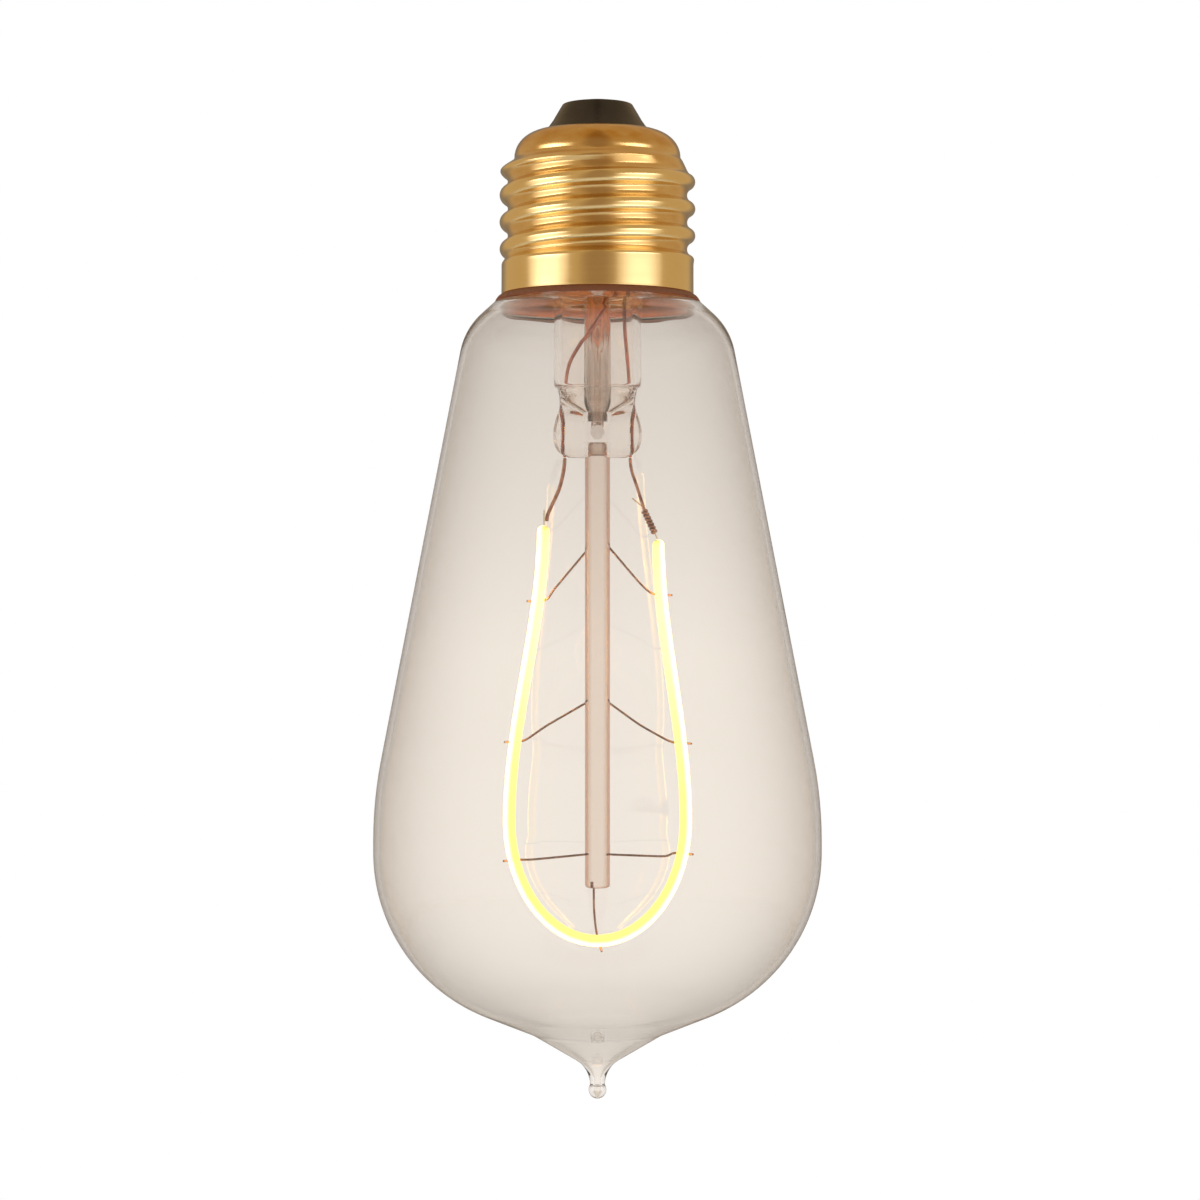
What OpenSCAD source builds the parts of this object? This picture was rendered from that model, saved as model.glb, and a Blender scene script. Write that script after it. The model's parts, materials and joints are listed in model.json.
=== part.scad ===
// Pear-shaped filament lamp with an Edison screw cap, hung cap up as it is used.
// The centre contact's face is at the origin and the lamp hangs below it, so every
// height is a drop: a distance below that face. The filament lies in the X-Z plane.

/* [Screw cap] */
// Diameter over the thread's crests
thread_d = 26.4; // [26:0.1:28]
// Rise of the thread in one turn
thread_pitch = 3.63; // [3.4:0.01:3.8]
// Depth of the thread from crest to root
thread_depth = 1.1; // [0.8:0.05:1.2]
// Drop of a crest on the +X side, which sets where the thread starts
crest_drop = 10.9; // [9:0.1:12]
// Sheet thickness of the shell
shell_wall = 0.3; // [0.2:0.05:0.4]
// Diameter of the plain barrel under the dome
barrel_d = 22.4; // [21.8:0.1:23.4]
// Corner radius of the dome
dome_r = 4; // [3:0.1:5]
// Length of the threaded band, from the dome to the collar
thread_len = 14.5; // [13:0.1:18]
// Length over which the thread rises out of the barrel
thread_start_len = 2; // [1.5:0.1:3]
// Length over which the thread runs out into the collar
thread_end_len = 1.5; // [1:0.1:2.5]
// Length of the plain collar
collar_len = 4; // [3:0.1:6]
// Thickness of the cement between the collar and the glass neck
cement_t = 0.28; // [0.2:0.02:0.5]
// Distance that the cement squeezed out below the collar spreads over the shoulder
cement_reach = 1.2; // [0.6:0.1:2]
// Distance that this cement stands out beside the collar
cement_bulge = 0.5; // [0.2:0.05:0.8]

/* [Insulator and contact] */
// Height of the insulator above the shell
insulator_h = 3.15; // [2:0.05:5]
// Width of the insulator's flat rim round the contact
insulator_rim = 0.65; // [0.5:0.05:1]
// Height of the steep land at the insulator's top
insulator_land = 0.75; // [0.4:0.05:1.2]
// Thickness of the insulator's wall
insulator_wall = 1.3; // [1:0.05:1.6]
// Diameter of the centre contact
contact_d = 8; // [6:0.1:8.4]
// Diameter of the contact's flat face
contact_face_d = 4.4; // [3:0.1:5.5]
// Height of the contact above the insulator
contact_h = 0.45; // [0.2:0.05:1]
// Depth of the contact's seat in the insulator
contact_seat = 0.5; // [0.3:0.05:0.8]
// Diameter of the contact's hollow rivet
rivet_d = 2.3; // [1.8:0.1:3]
// Length of the rivet below its seat
rivet_len = 3.2; // [2.5:0.1:5]

/* [Glass envelope] */
// Wall of the blown glass
glass_wall = 0.7; // [0.5:0.05:0.9]
// Wall just below the neck, where the glass was stretched least
shoulder_wall = 1.5; // [0.9:0.1:2]
// Height over which the wall thins out below the neck
thinning_h = 9; // [5:0.5:15]
// Diameter of the neck inside the cap
neck_d = 24.4; // [22:0.1:26]
// Gap between the cap's rim and the glass
seat_gap = 0.25; // [0.2:0.01:0.4]
// Fillet where the neck widens below the cap
seat_r = 1; // [0.6:0.1:1.2]
// Diameter where the shoulder's slope would meet the side
shoulder_d = 35.8; // [32:0.1:42]
// Height of the shoulder
shoulder_h = 4.3; // [3:0.05:8]
// Radius that rounds the shoulder
shoulder_r = 9; // [5:0.5:12]
// Largest diameter
glass_d = 60.3; // [52:0.1:70]
// Height of the slanting side
side_h = 63.2; // [55:0.1:80]
// Radius that rounds the side into the belly
side_r = 57; // [30:1:70]
// Height from the side to the crown
belly_h = 22.7; // [20:0.1:28]
// Radius of the belly
belly_r = 23.5; // [20:0.5:26]
// Diameter where the crown meets the drawn tip
tip_d = 18; // [14:0.5:24]
// Height of the crown
crown_h = 8.8; // [7:0.1:12]
// Radius that eases the crown into the tip
tip_ease_r = 8; // [4:0.5:12]
// Height of the tip's cone
tip_h = 4.8; // [4:0.1:7]
// Radius that eases the tip into its thread of glass
tip_r = 4; // [2:0.1:4.5]
// Diameter of the thread of glass at the tip's end
pip_neck_d = 2; // [1.6:0.1:2.2]
// Length of the thread of glass and its bead
pip_len = 4.1; // [3.5:0.1:6]
// Diameter of the bead
pip_d = 2.4; // [2.3:0.1:3.2]

/* [Glass stem] */
// Diameter of the flare's tube
flare_tube_d = 11.8; // [11:0.1:13]
// Wall of the flare
flare_wall = 1; // [0.7:0.05:1.2]
// Height of the flare's trumpet
trumpet_h = 4; // [3:0.1:6]
// Height of the flare's straight rim
flare_rim_h = 0.8; // [0.5:0.1:1.2]
// Length of the tube below the trumpet
flare_tube_h = 10.2; // [8:0.1:16]
// Height from the tube to the press's waist
waist_h = 3.9; // [3:0.1:6]
// Distance that the waist draws in on each side of the tube
waist_in = 0.75; // [0.1:0.05:0.8]
// Height of the pinched press
press_h = 6.7; // [6:0.1:9]
// Width of the press
press_w = 11.9; // [11.2:0.1:13]
// Thickness of the press
press_t = 4.8; // [4.4:0.1:6]
// Diameter of the exhaust tube
exhaust_d = 3.6; // [3:0.1:4]
// Bore of the exhaust tube
exhaust_bore = 1.9; // [1.2:0.1:2.2]
// Diameter of the blow hole in the press's front
blow_hole_d = 1.9; // [1.2:0.1:2.2]
// Diameter of the support rod
rod_d = 3.4; // [3:0.1:3.8]
// Length of the rod below the press
rod_len = 57.9; // [54:0.1:66]
// Length of the rod held in the press
rod_grip = 2; // [1:0.1:2.4]

/* [Filament] */
// Diameter of the phosphor coating
filament_d = 1.6; // [1.4:0.1:2]
// Width of the flexible strip
strip_w = 1; // [0.7:0.05:1.1]
// Thickness of the flexible strip
strip_t = 0.2; // [0.1:0.05:0.25]
// Length of one chip along the strip
chip_len = 1.4; // [0.8:0.1:1.6]
// Width of a chip
chip_w = 0.6; // [0.4:0.05:0.7]
// Thickness of a chip
chip_t = 0.2; // [0.1:0.05:0.25]
// Number of chips
chip_count = 60; // [40:1:70]
// Drop of the left end below the press
left_top = 9.1; // [7:0.1:11]
// Drop of the right end below the press
right_top = 11; // [9:0.1:13]
// Distance of the left end from the axis
left_x = 7.3; // [6:0.1:9]
// Distance of the right end from the axis
right_x = 8.2; // [6:0.1:9]
// Half the width of the hairpin at its widest
hairpin_r = 11.9; // [10.5:0.1:14]
// Height of the bend at the foot of the hairpin
bend_h = 16.3; // [12:0.1:20]
// Distance of the hairpin's foot below the rod
hairpin_hang = 7.2; // [6:0.1:10]
// Length of the left metal end tab, which stands straight
tab_len = 2; // [1.5:0.1:4]
// Length of the right end tab up to its bend
right_tab_len = 4.8; // [3:0.1:6]
// Angle that the right tab leans toward the rod
tab_lean = 25; // [10:1:35]
// Length of the right tab's tail past the bend
tail_len = 1.8; // [1:0.1:2.5]
// Angle that the tail leans
tail_lean = 50; // [40:1:80]
// Thickness of each end tab
tab_t = 0.15; // [0.1:0.05:0.25]

/* [Wires] */
// Diameter of the inner leads
inner_lead_d = 0.5; // [0.4:0.05:0.6]
// Diameter of the seal wires in the press
seal_wire_d = 0.5; // [0.4:0.05:0.6]
// Diameter of the outer leads
outer_lead_d = 0.5; // [0.4:0.05:0.6]
// Clearance between the outer leads and the flare's wall
lead_clear = 0.25; // [0.15:0.05:0.6]
// Diameter of the support hooks
hook_d = 0.3; // [0.2:0.05:0.4]
// Depth of each hook's root in the rod
hook_bite = 0.9; // [0.5:0.1:1.1]
// Length of a hook beyond the filament's middle
hook_tip = 1.5; // [1.2:0.1:2]

/* [Driver] */
// Distance of the board's edge inside the flare's rim
board_inset = 0.25; // [0.1:0.05:0.5]
// Thickness of the board
board_t = 1; // [0.6:0.1:1.6]
// Diameter of the capacitor
capacitor_d = 5; // [4:0.1:6.3]
// Height of the capacitor
capacitor_h = 7.5; // [5:0.1:9]
// Diameter of the fuse resistor
fuse_d = 2.3; // [1.8:0.1:2.8]
// Length of the fuse resistor
fuse_len = 6; // [4:0.1:7]
// Wall of the sleeve round the fuse resistor
sleeve_wall = 0.3; // [0.2:0.05:0.5]
// Diameter of the driver's wires
driver_wire_d = 0.5; // [0.4:0.05:0.6]

/* [Hidden] */
$fn = 64;

// Clearance between pieces that seat in one another
fit = 0.05;
// Clearance under a surface made of flat facets
facet_fit = 0.12;
// Clearance between the driver board and the end of the thread
board_clear = 0.15;
// Drops of the cap's levels
lip_drop = contact_h + insulator_h;
dome_end = lip_drop + dome_r;
collar_top = dome_end + thread_len;
rim_drop = collar_top + collar_len;
// The neck's fillet starts inside the rim and passes under it, with a film of cement between
seat_reach = fit + cement_t + facet_fit;
seat_drop = rim_drop + seat_gap + seat_r - sqrt(pow(seat_r, 2) - pow(seat_r - seat_reach, 2));
// The collar holds the neck with cement between, and the board rests on the neck's flare
collar_d = neck_d + 2 * (fit + cement_t + facet_fit + shell_wall);
board_top = collar_top + board_clear;
board_drop = board_top + board_t;
neck_top = board_drop + fit;
// Drops of the stem's levels
tube_top = neck_top + trumpet_h;
tube_end = tube_top + flare_tube_h;
waist_w = flare_tube_d - 2 * waist_in;
seal_wire_x = flare_tube_d / 2 - flare_wall - outer_lead_d / 2 - lead_clear;
waist_drop = tube_end + waist_h;
press_end = waist_drop + press_h;
rod_end = press_end + rod_len;
hairpin_end = rod_end + hairpin_hang;
bend_drop = hairpin_end - bend_h;

// Small helpers for outlines and routes
function unit(v) = v / norm(v);
function mix(a, b, t) = a + (b - a) * t;
function ease(t) = let (u = min(1, max(0, t))) u * u * (3 - 2 * u);
function backwards(list) = [for (i = [len(list) - 1 : -1 : 0]) list[i]];

// The length that a rounding takes from both sides of corner b
function cut_length(a, b, c, r) = r == 0 ? 0 : r / tan(acos(unit(a - b) * unit(c - b)) / 2);

// The arc that rounds corner b of the path a, b, c
function arc_at(a, b, c, r) =
    let (
        u = unit(a - b),
        v = unit(c - b),
        half = acos(u * v) / 2,
        centre = b + unit(u + v) * r / sin(half),
        start = b + u * r / tan(half) - centre,
        angle = atan2(start.y, start.x),
        turn = (180 - 2 * half) * sign(cross(b - a, c - b)),
        steps = ceil(abs(turn) / 8)
    )
    [for (i = [0 : steps]) let (a = angle + turn * i / steps) centre + r * [cos(a), sin(a)]];

// An outline from corners given as [radius, drop, rounding]. Where two roundings need more
// than the side between them, both shrink to fit it.
function outline(corners) =
    let (
        last = len(corners) - 1,
        at = [for (c = corners) [c.x, c.y]],
        cuts = [
            for (i = [0 : last])
                i == 0 || i == last ? 0 : cut_length(at[i - 1], at[i], at[i + 1], corners[i].z)
        ],
        share = [
            for (i = [0 : last - 1])
                min(1, norm(at[i + 1] - at[i]) / max(cuts[i] + cuts[i + 1], 0.001))
        ]
    )
    [
        for (i = [0 : last])
            each cuts[i] == 0
                ? [at[i]]
                : arc_at(at[i - 1], at[i], at[i + 1], corners[i].z * min(share[i - 1], share[i]))
    ];

// The distance from point p to the stretch from a to b
function distance_to(p, a, b) =
    let (along = (p - a) * unit(b - a) / norm(b - a))
    norm(mix(a, b, min(1, max(0, along))) - p);

// The wall at a drop: thickest just below the neck's fillet, thinning out above and below it
function wall_at(drop) =
    let (
        rise = ease((drop - neck_top - flare_rim_h) / (seat_drop - neck_top - flare_rim_h)),
        fall = ease((drop - seat_drop) / thinning_h)
    )
    mix(glass_wall, shoulder_wall, rise * (1 - fall));

// The same outline moved inward by the wall, without the loops that tight corners would make
function inset(path) =
    let (last = len(path) - 1)
    [
        for (i = [0 : last])
            let (
                wall = wall_at(path[i].y),
                t = unit(path[min(i + 1, last)] - path[max(i - 1, 0)]),
                p = path[i] + wall * [-t.y, t.x],
                nearest = min([for (j = [0 : last - 1]) distance_to(p, path[j], path[j + 1])])
            )
            if (nearest > wall * 0.97) p
    ];

// Cuts the corners of a route, so that a wire bends and doesn't kink
bend_cut = 0.6;
function soften(route) = [
    route[0],
    for (i = [1 : len(route) - 2])
        for (next = [route[i - 1], route[i + 1]])
            mix(route[i], next, min(0.3, bend_cut / norm(next - route[i]))),
    route[len(route) - 1]
];

// Turns [radius, drop] into a solid of revolution
module lathe(points) {
    rotate_extrude() polygon([for (p = points) [p.x, -p.y]]);
}

// Skins a list of rings; a closed list comes back to its first ring
module loft(rings, closed = false) {
    k = len(rings[0]);
    n = len(rings);
    ends = closed ? [] : [[for (j = [0 : k - 1]) j], [for (j = [k - 1 : -1 : 0]) (n - 1) * k + j]];
    sides = [
        for (i = [0 : closed ? n - 1 : n - 2], j = [0 : k - 1])
            let (a = i * k, b = (i + 1) % n * k, m = (j + 1) % k)
            each [[a + j, b + j, b + m], [a + j, b + m, a + m]]
    ];
    polyhedron([for (ring = rings) each ring], concat(sides, ends));
}

// The ring that a flat section makes across point i of a route
function ring_across(route, i, section) =
    let (
        t = unit(route[min(i + 1, len(route) - 1)] - route[max(i - 1, 0)]),
        side = unit(cross([0, 1, 0], t)),
        up = cross(t, side)
    )
    [for (p = section) route[i] + p.x * side + p.y * up];
function rings_along(route, section) = [for (i = [0 : len(route) - 1]) ring_across(route, i, section)];
function round_section(d, sides) = [
    for (j = [0 : sides - 1])
        let (a = 360 * j / sides)
        d / 2 * [cos(a), sin(a)]
];

// A wire of diameter d along points given as [x, y, drop]
module wire(route, d, sides = 8) {
    points = [for (p = soften(soften(route))) [p.x, p.y, -p.z]];
    loft(rings_along(points, round_section(d, sides)));
}

// The cap's shell: a rolled thread between a dome and a plain collar
thread_arc = (pow(thread_pitch / 4, 2) + pow(thread_depth / 2, 2)) / thread_depth;
dome_core_r = barrel_d / 2 - dome_r;
shell_sides = 32;
thread_rows = ceil(thread_len / thread_pitch * 8);

// Height of the thread above its root, u turns from a crest: equal arcs, convex then hollow
function ridge(u) =
    let (x = abs(u - round(u)) * thread_pitch)
    x < thread_pitch / 4
        ? thread_depth - thread_arc + sqrt(pow(thread_arc, 2) - pow(x, 2))
        : thread_arc - sqrt(pow(thread_arc, 2) - pow(thread_pitch / 2 - x, 2));
function shell_r(angle, drop) =
    let (
        turns = (drop - crest_drop) / thread_pitch + angle / 360,
        threaded = thread_d / 2 - thread_depth + ridge(turns),
        rise = ease((drop - dome_end) / thread_start_len),
        fall = ease((drop - collar_top + thread_end_len) / thread_end_len)
    )
    mix(mix(barrel_d / 2, threaded, rise), collar_d / 2, fall);
function shell_ring(drop, inward) = [
    for (j = [0 : shell_sides - 1])
        let (a = -360 * j / shell_sides, r = shell_r(a, drop) - inward)
        [r * cos(a), r * sin(a), -drop]
];
function dome_ring(slope, inward) =
    let (r = dome_core_r + (dome_r - inward) * cos(slope), z = (dome_r - inward) * sin(slope) - dome_end)
    [for (j = [0 : shell_sides - 1]) let (a = -360 * j / shell_sides) [r * cos(a), r * sin(a), z]];
function shell_skin(inward) = concat(
    [for (slope = [90 : -18 : 18]) dome_ring(slope, inward)],
    [for (i = [0 : thread_rows]) shell_ring(dome_end + thread_len * i / thread_rows, inward)],
    [shell_ring(rim_drop, inward)]
);

module screw_shell() {
    color("goldenrod") loft(concat(shell_skin(0), backwards(shell_skin(shell_wall))), closed = true);
}

// The insulator fills the dome's mouth and bears against the dome from inside
module insulator() {
    top_r = contact_d / 2 + fit + insulator_rim;
    edge = 0.2;
    land_r = top_r + insulator_land * 0.6;
    flange_arc = dome_r - shell_wall - facet_fit;
    flange = [for (a = [90 : -7 : 55]) [dome_core_r, dome_end] + flange_arc * [cos(a), -sin(a)]];
    flange_r = flange[len(flange) - 1].x;
    skirt_drop = flange[len(flange) - 1].y + insulator_wall;
    seat = contact_h + contact_seat;
    color("#241914") lathe(concat(
        [[contact_d / 2 + fit, contact_h], [top_r - edge, contact_h], [top_r, contact_h + edge]],
        [[land_r, contact_h + insulator_land], [dome_core_r - facet_fit, lip_drop]],
        flange,
        [[flange_r, skirt_drop], [flange_r - insulator_wall, skirt_drop]],
        [for (r = [rivet_d / 2 + insulator_wall, rivet_d / 2 + fit]) [r, seat + insulator_wall]],
        [[rivet_d / 2 + fit, seat], [contact_d / 2 + fit, seat]]
    ));
}

// A pressed contact whose hollow rivet grips the contact lead
module centre_contact() {
    seat = contact_h + contact_seat - fit;
    bore = driver_wire_d / 2 + fit;
    floor_t = 0.4;
    color("#c8b890") lathe([
        [0, 0], [contact_face_d / 2, 0], [contact_d / 2 - contact_h, contact_h * 0.6],
        [contact_d / 2, contact_h], [contact_d / 2, seat], [rivet_d / 2, seat],
        [rivet_d / 2, seat + rivet_len], [bore, seat + rivet_len], [bore, seat + floor_t], [0, seat + floor_t]
    ]);
}

// Cement fills the collar, passes under its rim and ends in a bead on the glass shoulder
module cement_ring() {
    outer = collar_d / 2 - shell_wall - facet_fit;
    fillet = [neck_d / 2 + seat_r, seat_drop - seat_r];
    slope = unit([shoulder_d / 2, shoulder_drop] - [fillet.x, seat_drop]);
    off_glass = fit * [slope.y, -slope.x];
    toe = [fillet.x, seat_drop] + cement_reach * slope + off_glass;
    under = rim_drop + fit;
    brow = [collar_d / 2 + cement_bulge, mix(under, toe.y, 0.2)];
    color("#6a3a20") lathe(concat(
        [[neck_d / 2 + fit, neck_top], [outer, neck_top], [outer, under], [collar_d / 2, under]],
        [brow, mix(brow, toe, 0.55) + 0.15 * [slope.y, -slope.x], toe],
        [[fillet.x, seat_drop] + off_glass],
        [for (a = [90 : -10 : 0]) fillet + (seat_r - fit) * [-cos(a), sin(a)]]
    ));
}

// The envelope's outer side, from the neck inside the cap down to the bead
shoulder_drop = seat_drop + shoulder_h;
side_drop = shoulder_drop + side_h;
belly_drop = side_drop + belly_h;
tip_drop = belly_drop + crown_h;
pip_drop = tip_drop + tip_h;
glass_end = pip_drop + pip_len;
bead = [0, glass_end - pip_d / 2];
bead_start = asin(pip_neck_d / pip_d);
glass_outside = concat(
    outline([
        [neck_d / 2, neck_top, 0],
        [neck_d / 2, neck_top + flare_rim_h, 0],
        [neck_d / 2, seat_drop, seat_r],
        [neck_d / 2 + seat_r, seat_drop, 0],
        [shoulder_d / 2, shoulder_drop, shoulder_r],
        [glass_d / 2, side_drop, side_r],
        [glass_d / 2, belly_drop, belly_r],
        [tip_d / 2, tip_drop, tip_ease_r],
        [pip_neck_d / 2, pip_drop, tip_r],
        [pip_neck_d / 2, bead.y - pip_d / 2 * cos(bead_start), 0]
    ]),
    [for (a = [bead_start + 15 : 15 : 179]) bead + pip_d / 2 * [sin(a), -cos(a)]],
    [[0, glass_end]]
);
// The hollow ends in the drawn tip, where it is too narrow to follow the outline further
hollow_least_r = 0.4;
hollow_close_h = 0.6;
glass_inside = [
    for (p = inset(glass_outside))
        if (p.x > hollow_least_r && p.y < pip_drop + tip_r) p
];

module glass_envelope() {
    hollow_end = glass_inside[len(glass_inside) - 1] + [0, hollow_close_h];
    color("#dcd4ce", 0.35) lathe(concat(glass_outside, [[0, hollow_end.y]], backwards(glass_inside)));
}

// The flare: a trumpet fused to the neck, a tube, and a press pinched flat below its waist.
// Each section is [drop, half width, half thickness, squareness].
flare_r = neck_d / 2 - glass_wall - fit;
tube_r = flare_tube_d / 2;
stem_sides = 28;
trumpet = [for (a = [0 : 18 : 90]) let (s = 1 - sin(a)) [
    neck_top + flare_rim_h + (trumpet_h - flare_rim_h) * (1 - cos(a)), tube_r + (flare_r - tube_r) * s
]];
stem_outside = concat(
    [[neck_top, flare_r, flare_r, 2]],
    [for (p = trumpet) [p.x, p.y, p.y, 2]],
    [
        [tube_end, tube_r, tube_r, 2],
        [tube_end + waist_h * 0.3, mix(tube_r, waist_w / 2, 0.6), tube_r - 0.3, 2],
        [tube_end + waist_h * 0.65, waist_w / 2, mix(tube_r, press_t / 2, 0.4), 2.1],
        [waist_drop, waist_w / 2, mix(tube_r, press_t / 2, 0.75), 2.3],
        [waist_drop + press_h * 0.22, mix(waist_w, press_w, 0.6) / 2, press_t / 2 + 0.1, 2.5],
        [waist_drop + press_h * 0.45, press_w / 2, press_t / 2, 2.6],
        [waist_drop + press_h * 0.65, press_w / 2, press_t / 2, 2.6],
        [waist_drop + press_h * 0.82, press_w / 2 - 0.4, press_t / 2, 2.5],
        [waist_drop + press_h * 0.93, press_w / 2 - 1.1, press_t / 2 - 0.4, 2.4],
        [press_end, press_w / 2 - 2.1, press_t / 2 - 1.1, 2.3]
    ]
);
stem_inside = concat(
    [
        [waist_drop + 0.4, exhaust_d / 2 + 0.2, exhaust_d / 2 + 0.1, 2],
        [waist_drop - 0.2, exhaust_d / 2 + 0.9, exhaust_d / 2 + 0.2, 2],
        [waist_drop - 1.2, waist_w / 2 - flare_wall - 0.3, exhaust_d / 2 + 0.7, 2],
        [tube_end + waist_h * 0.3, tube_r - flare_wall - 0.2, tube_r - flare_wall - 0.4, 2],
        [tube_end, tube_r - flare_wall, tube_r - flare_wall, 2]
    ],
    [for (p = backwards(trumpet)) [p.x - flare_wall * 0.3, p.y - flare_wall, p.y - flare_wall, 2]],
    [[neck_top, flare_r - flare_wall, flare_r - flare_wall, 2]]
);
function squared(v, n) = sign(v) * pow(abs(v), 2 / n);
function stem_ring(s) = [
    for (j = [0 : stem_sides - 1])
        let (a = -360 * j / stem_sides)
        [s[1] * squared(cos(a), s[3]), s[2] * squared(sin(a), s[3]), -s[0]]
];
blow_hole_drop = waist_drop + press_h * 0.5;
exhaust_end = waist_drop + press_h * 0.28;

module stem_flare() {
    color("#cfc8c0", 0.5) difference() {
        loft([for (s = concat(stem_inside, stem_outside)) stem_ring(s)]);
        // the exhaust tube's seat, its passage and the blow hole in the front
        translate([0, 0, -exhaust_end])
            cylinder(d = exhaust_d + 2 * fit, h = exhaust_end - waist_drop + 1);
        translate([0, 0, -blow_hole_drop])
            cylinder(d = exhaust_bore, h = blow_hole_drop - exhaust_end + 1);
        translate([0, 0, -blow_hole_drop]) rotate([90, 0, 0]) cylinder(d = blow_hole_d, h = press_t);
        // the rod's socket and the two seals
        translate([0, 0, -press_end - 1]) cylinder(d = rod_d + 2 * fit, h = rod_grip + 1);
        for (x = [-seal_wire_x, seal_wire_x])
            translate([x, 0, -press_end - 1]) cylinder(d = seal_wire_d + 2 * fit, h = press_h + waist_h);
    }
}

// Drawn shut at its top end when the lamp has been pumped
module exhaust_tube() {
    r = exhaust_d / 2;
    bore = exhaust_bore / 2;
    top = neck_top + flare_rim_h;
    color("#cfc8c0", 0.5) lathe([
        [0, top], [r * 0.3, top + 0.15], [r * 0.7, top + 0.9], [r, top + 2.2], [r, exhaust_end - fit],
        [bore, exhaust_end - fit], [bore, top + 3], [bore * 0.6, top + 2.2], [0, top + 1.8]
    ]);
}

// The filament's hairpin: two limbs that spread, joined by half an ellipse
function limb_x(side, drop) =
    let (top = press_end + (side < 0 ? left_top : right_top), x = side < 0 ? left_x : right_x)
    drop < bend_drop
        ? mix(x, hairpin_r, ease((drop - top) / (bend_drop - top)))
        : hairpin_r * sqrt(max(0, 1 - pow((drop - bend_drop) / bend_h, 2)));
limb_steps = 12;
bend_steps = 24;
function limb(side) = [
    for (i = [0 : limb_steps - 1])
        let (drop = mix(press_end + (side < 0 ? left_top : right_top), bend_drop, i / limb_steps))
        [side * limb_x(side, drop), 0, -drop]
];
bend = [
    for (i = [0 : bend_steps])
        let (a = 180 * i / bend_steps)
        [-hairpin_r * cos(a), 0, -bend_drop - bend_h * sin(a)]
];
hairpin = concat(limb(-1), bend, backwards(limb(1)));

// A rectangle with points between its corners, w along Y and from inner to outer across
function slot_section(inner, outer, w) = [
    [outer, 0], [outer, w / 2], [(inner + outer) / 2, w / 2], [inner, w / 2],
    [inner, 0], [inner, -w / 2], [(inner + outer) / 2, -w / 2], [outer, -w / 2]
];
// The strip's light side faces out of the hairpin
strip_inner = -strip_t / 2 - chip_t / 2;
strip_outer = strip_inner + strip_t;
chip_outer = strip_outer + fit + chip_t;

// A flat strip in the hairpin's plane, along a line and between two distances beside it
function beside(line, shift) = [for (ring = rings_along(line, [[shift, 0]])) [ring[0].x, ring[0].z]];
module flat_strip(line, from, to) {
    rotate([90, 0, 0]) translate([0, 0, -strip_w / 2]) linear_extrude(strip_w)
        polygon(concat(beside(line, from), backwards(beside(line, to))));
}

module filament_strip() {
    color("#e8d8a8") flat_strip(hairpin, strip_inner, strip_outer);
}

module filament_coating() {
    slot = slot_section(strip_inner - fit, chip_outer + facet_fit, strip_w + 2 * fit);
    outer = rings_along(hairpin, round_section(filament_d, 8));
    channel = rings_along(hairpin, slot);
    color("#ffd27a") loft(concat(outer, backwards(channel)), closed = true);
}

// Chips at even steps along the hairpin, each laid flat on the strip
function lengths(route, i = 0, sum = 0) =
    i == len(route) - 1
        ? [sum]
        : concat([sum], lengths(route, i + 1, sum + norm(route[i + 1] - route[i])));
hairpin_lengths = lengths(hairpin);
hairpin_len = hairpin_lengths[len(hairpin) - 1];
function stretch_at(s) = [
    for (i = [0 : len(hairpin) - 2])
        if (hairpin_lengths[i] <= s && s < hairpin_lengths[i + 1]) i
][0];

module filament_chips() {
    color("#f4f0e0") for (n = [0 : chip_count - 1]) {
        s = hairpin_len * (n + 0.5) / chip_count;
        i = stretch_at(s);
        t = unit(hairpin[i + 1] - hairpin[i]);
        translate(hairpin[i] + t * (s - hairpin_lengths[i]))
            rotate([0, atan2(t.x, t.z), 0])
                translate([strip_outer + fit, -chip_w / 2, -chip_len / 2])
                    cube([chip_t, chip_w, chip_len]);
    }
}

// A bare metal tab carries each end of the strip on to its lead. The left one stands
// straight, the right one leans toward the rod and its tail bends further.
tab_middle = (strip_inner + strip_outer) / 2;
function leaning(from, angle, length) = from + length * [-sin(angle), 0, cos(angle)];
left_tab_end = [-left_x - tab_middle, 0, fit - press_end - left_top];
left_tab = [left_tab_end, left_tab_end + [0, 0, tab_len]];
right_tab_end = [right_x + tab_middle, 0, fit - press_end - right_top];
right_tab_bend = leaning(right_tab_end, tab_lean, right_tab_len);
right_tab = [right_tab_end, right_tab_bend, leaning(right_tab_bend, tail_lean, tail_len)];
module filament_tab(line) {
    color("#b8a898") flat_strip(line, -tab_t / 2, tab_t / 2);
}

// Each inner lead leaves the press and runs down to its tab: the left one lies against
// the tab's inner face, the right one in front of it
lead_out = 1.6;
weld_len = 0.8;
function lead_start(side) = [
    [side * seal_wire_x, 0, press_end], [side * (seal_wire_x + 0.1), 0, press_end + lead_out]
];
module inner_lead_left() {
    x = left_tab_end.x + tab_t / 2 + fit + inner_lead_d / 2;
    end = -left_tab_end.z - inner_lead_d;
    color("#8a7468") wire(concat(lead_start(-1), [
        [mix(-seal_wire_x, x, 0.3), 0, mix(press_end, end, 0.5)],
        [x, 0, end - weld_len], [x, 0, end]
    ]), inner_lead_d);
}

module inner_lead_right() {
    front = -strip_w / 2 - fit - inner_lead_d / 2;
    end = leaning(right_tab_end, tab_lean, weld_len);
    over = right_tab_bend + [tab_t + inner_lead_d, front, -inner_lead_d];
    color("#8a7468") wire(concat(lead_start(1), [
        [mix(seal_wire_x, right_tab_bend.x, 0.45), 0, mix(press_end, -right_tab_bend.z, 0.5)],
        [right_tab_bend.x, front / 2, -right_tab_bend.z - 2 * inner_lead_d],
        [over.x, over.y, -over.z], [end.x, front, -end.z]
    ]), inner_lead_d);
}

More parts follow.
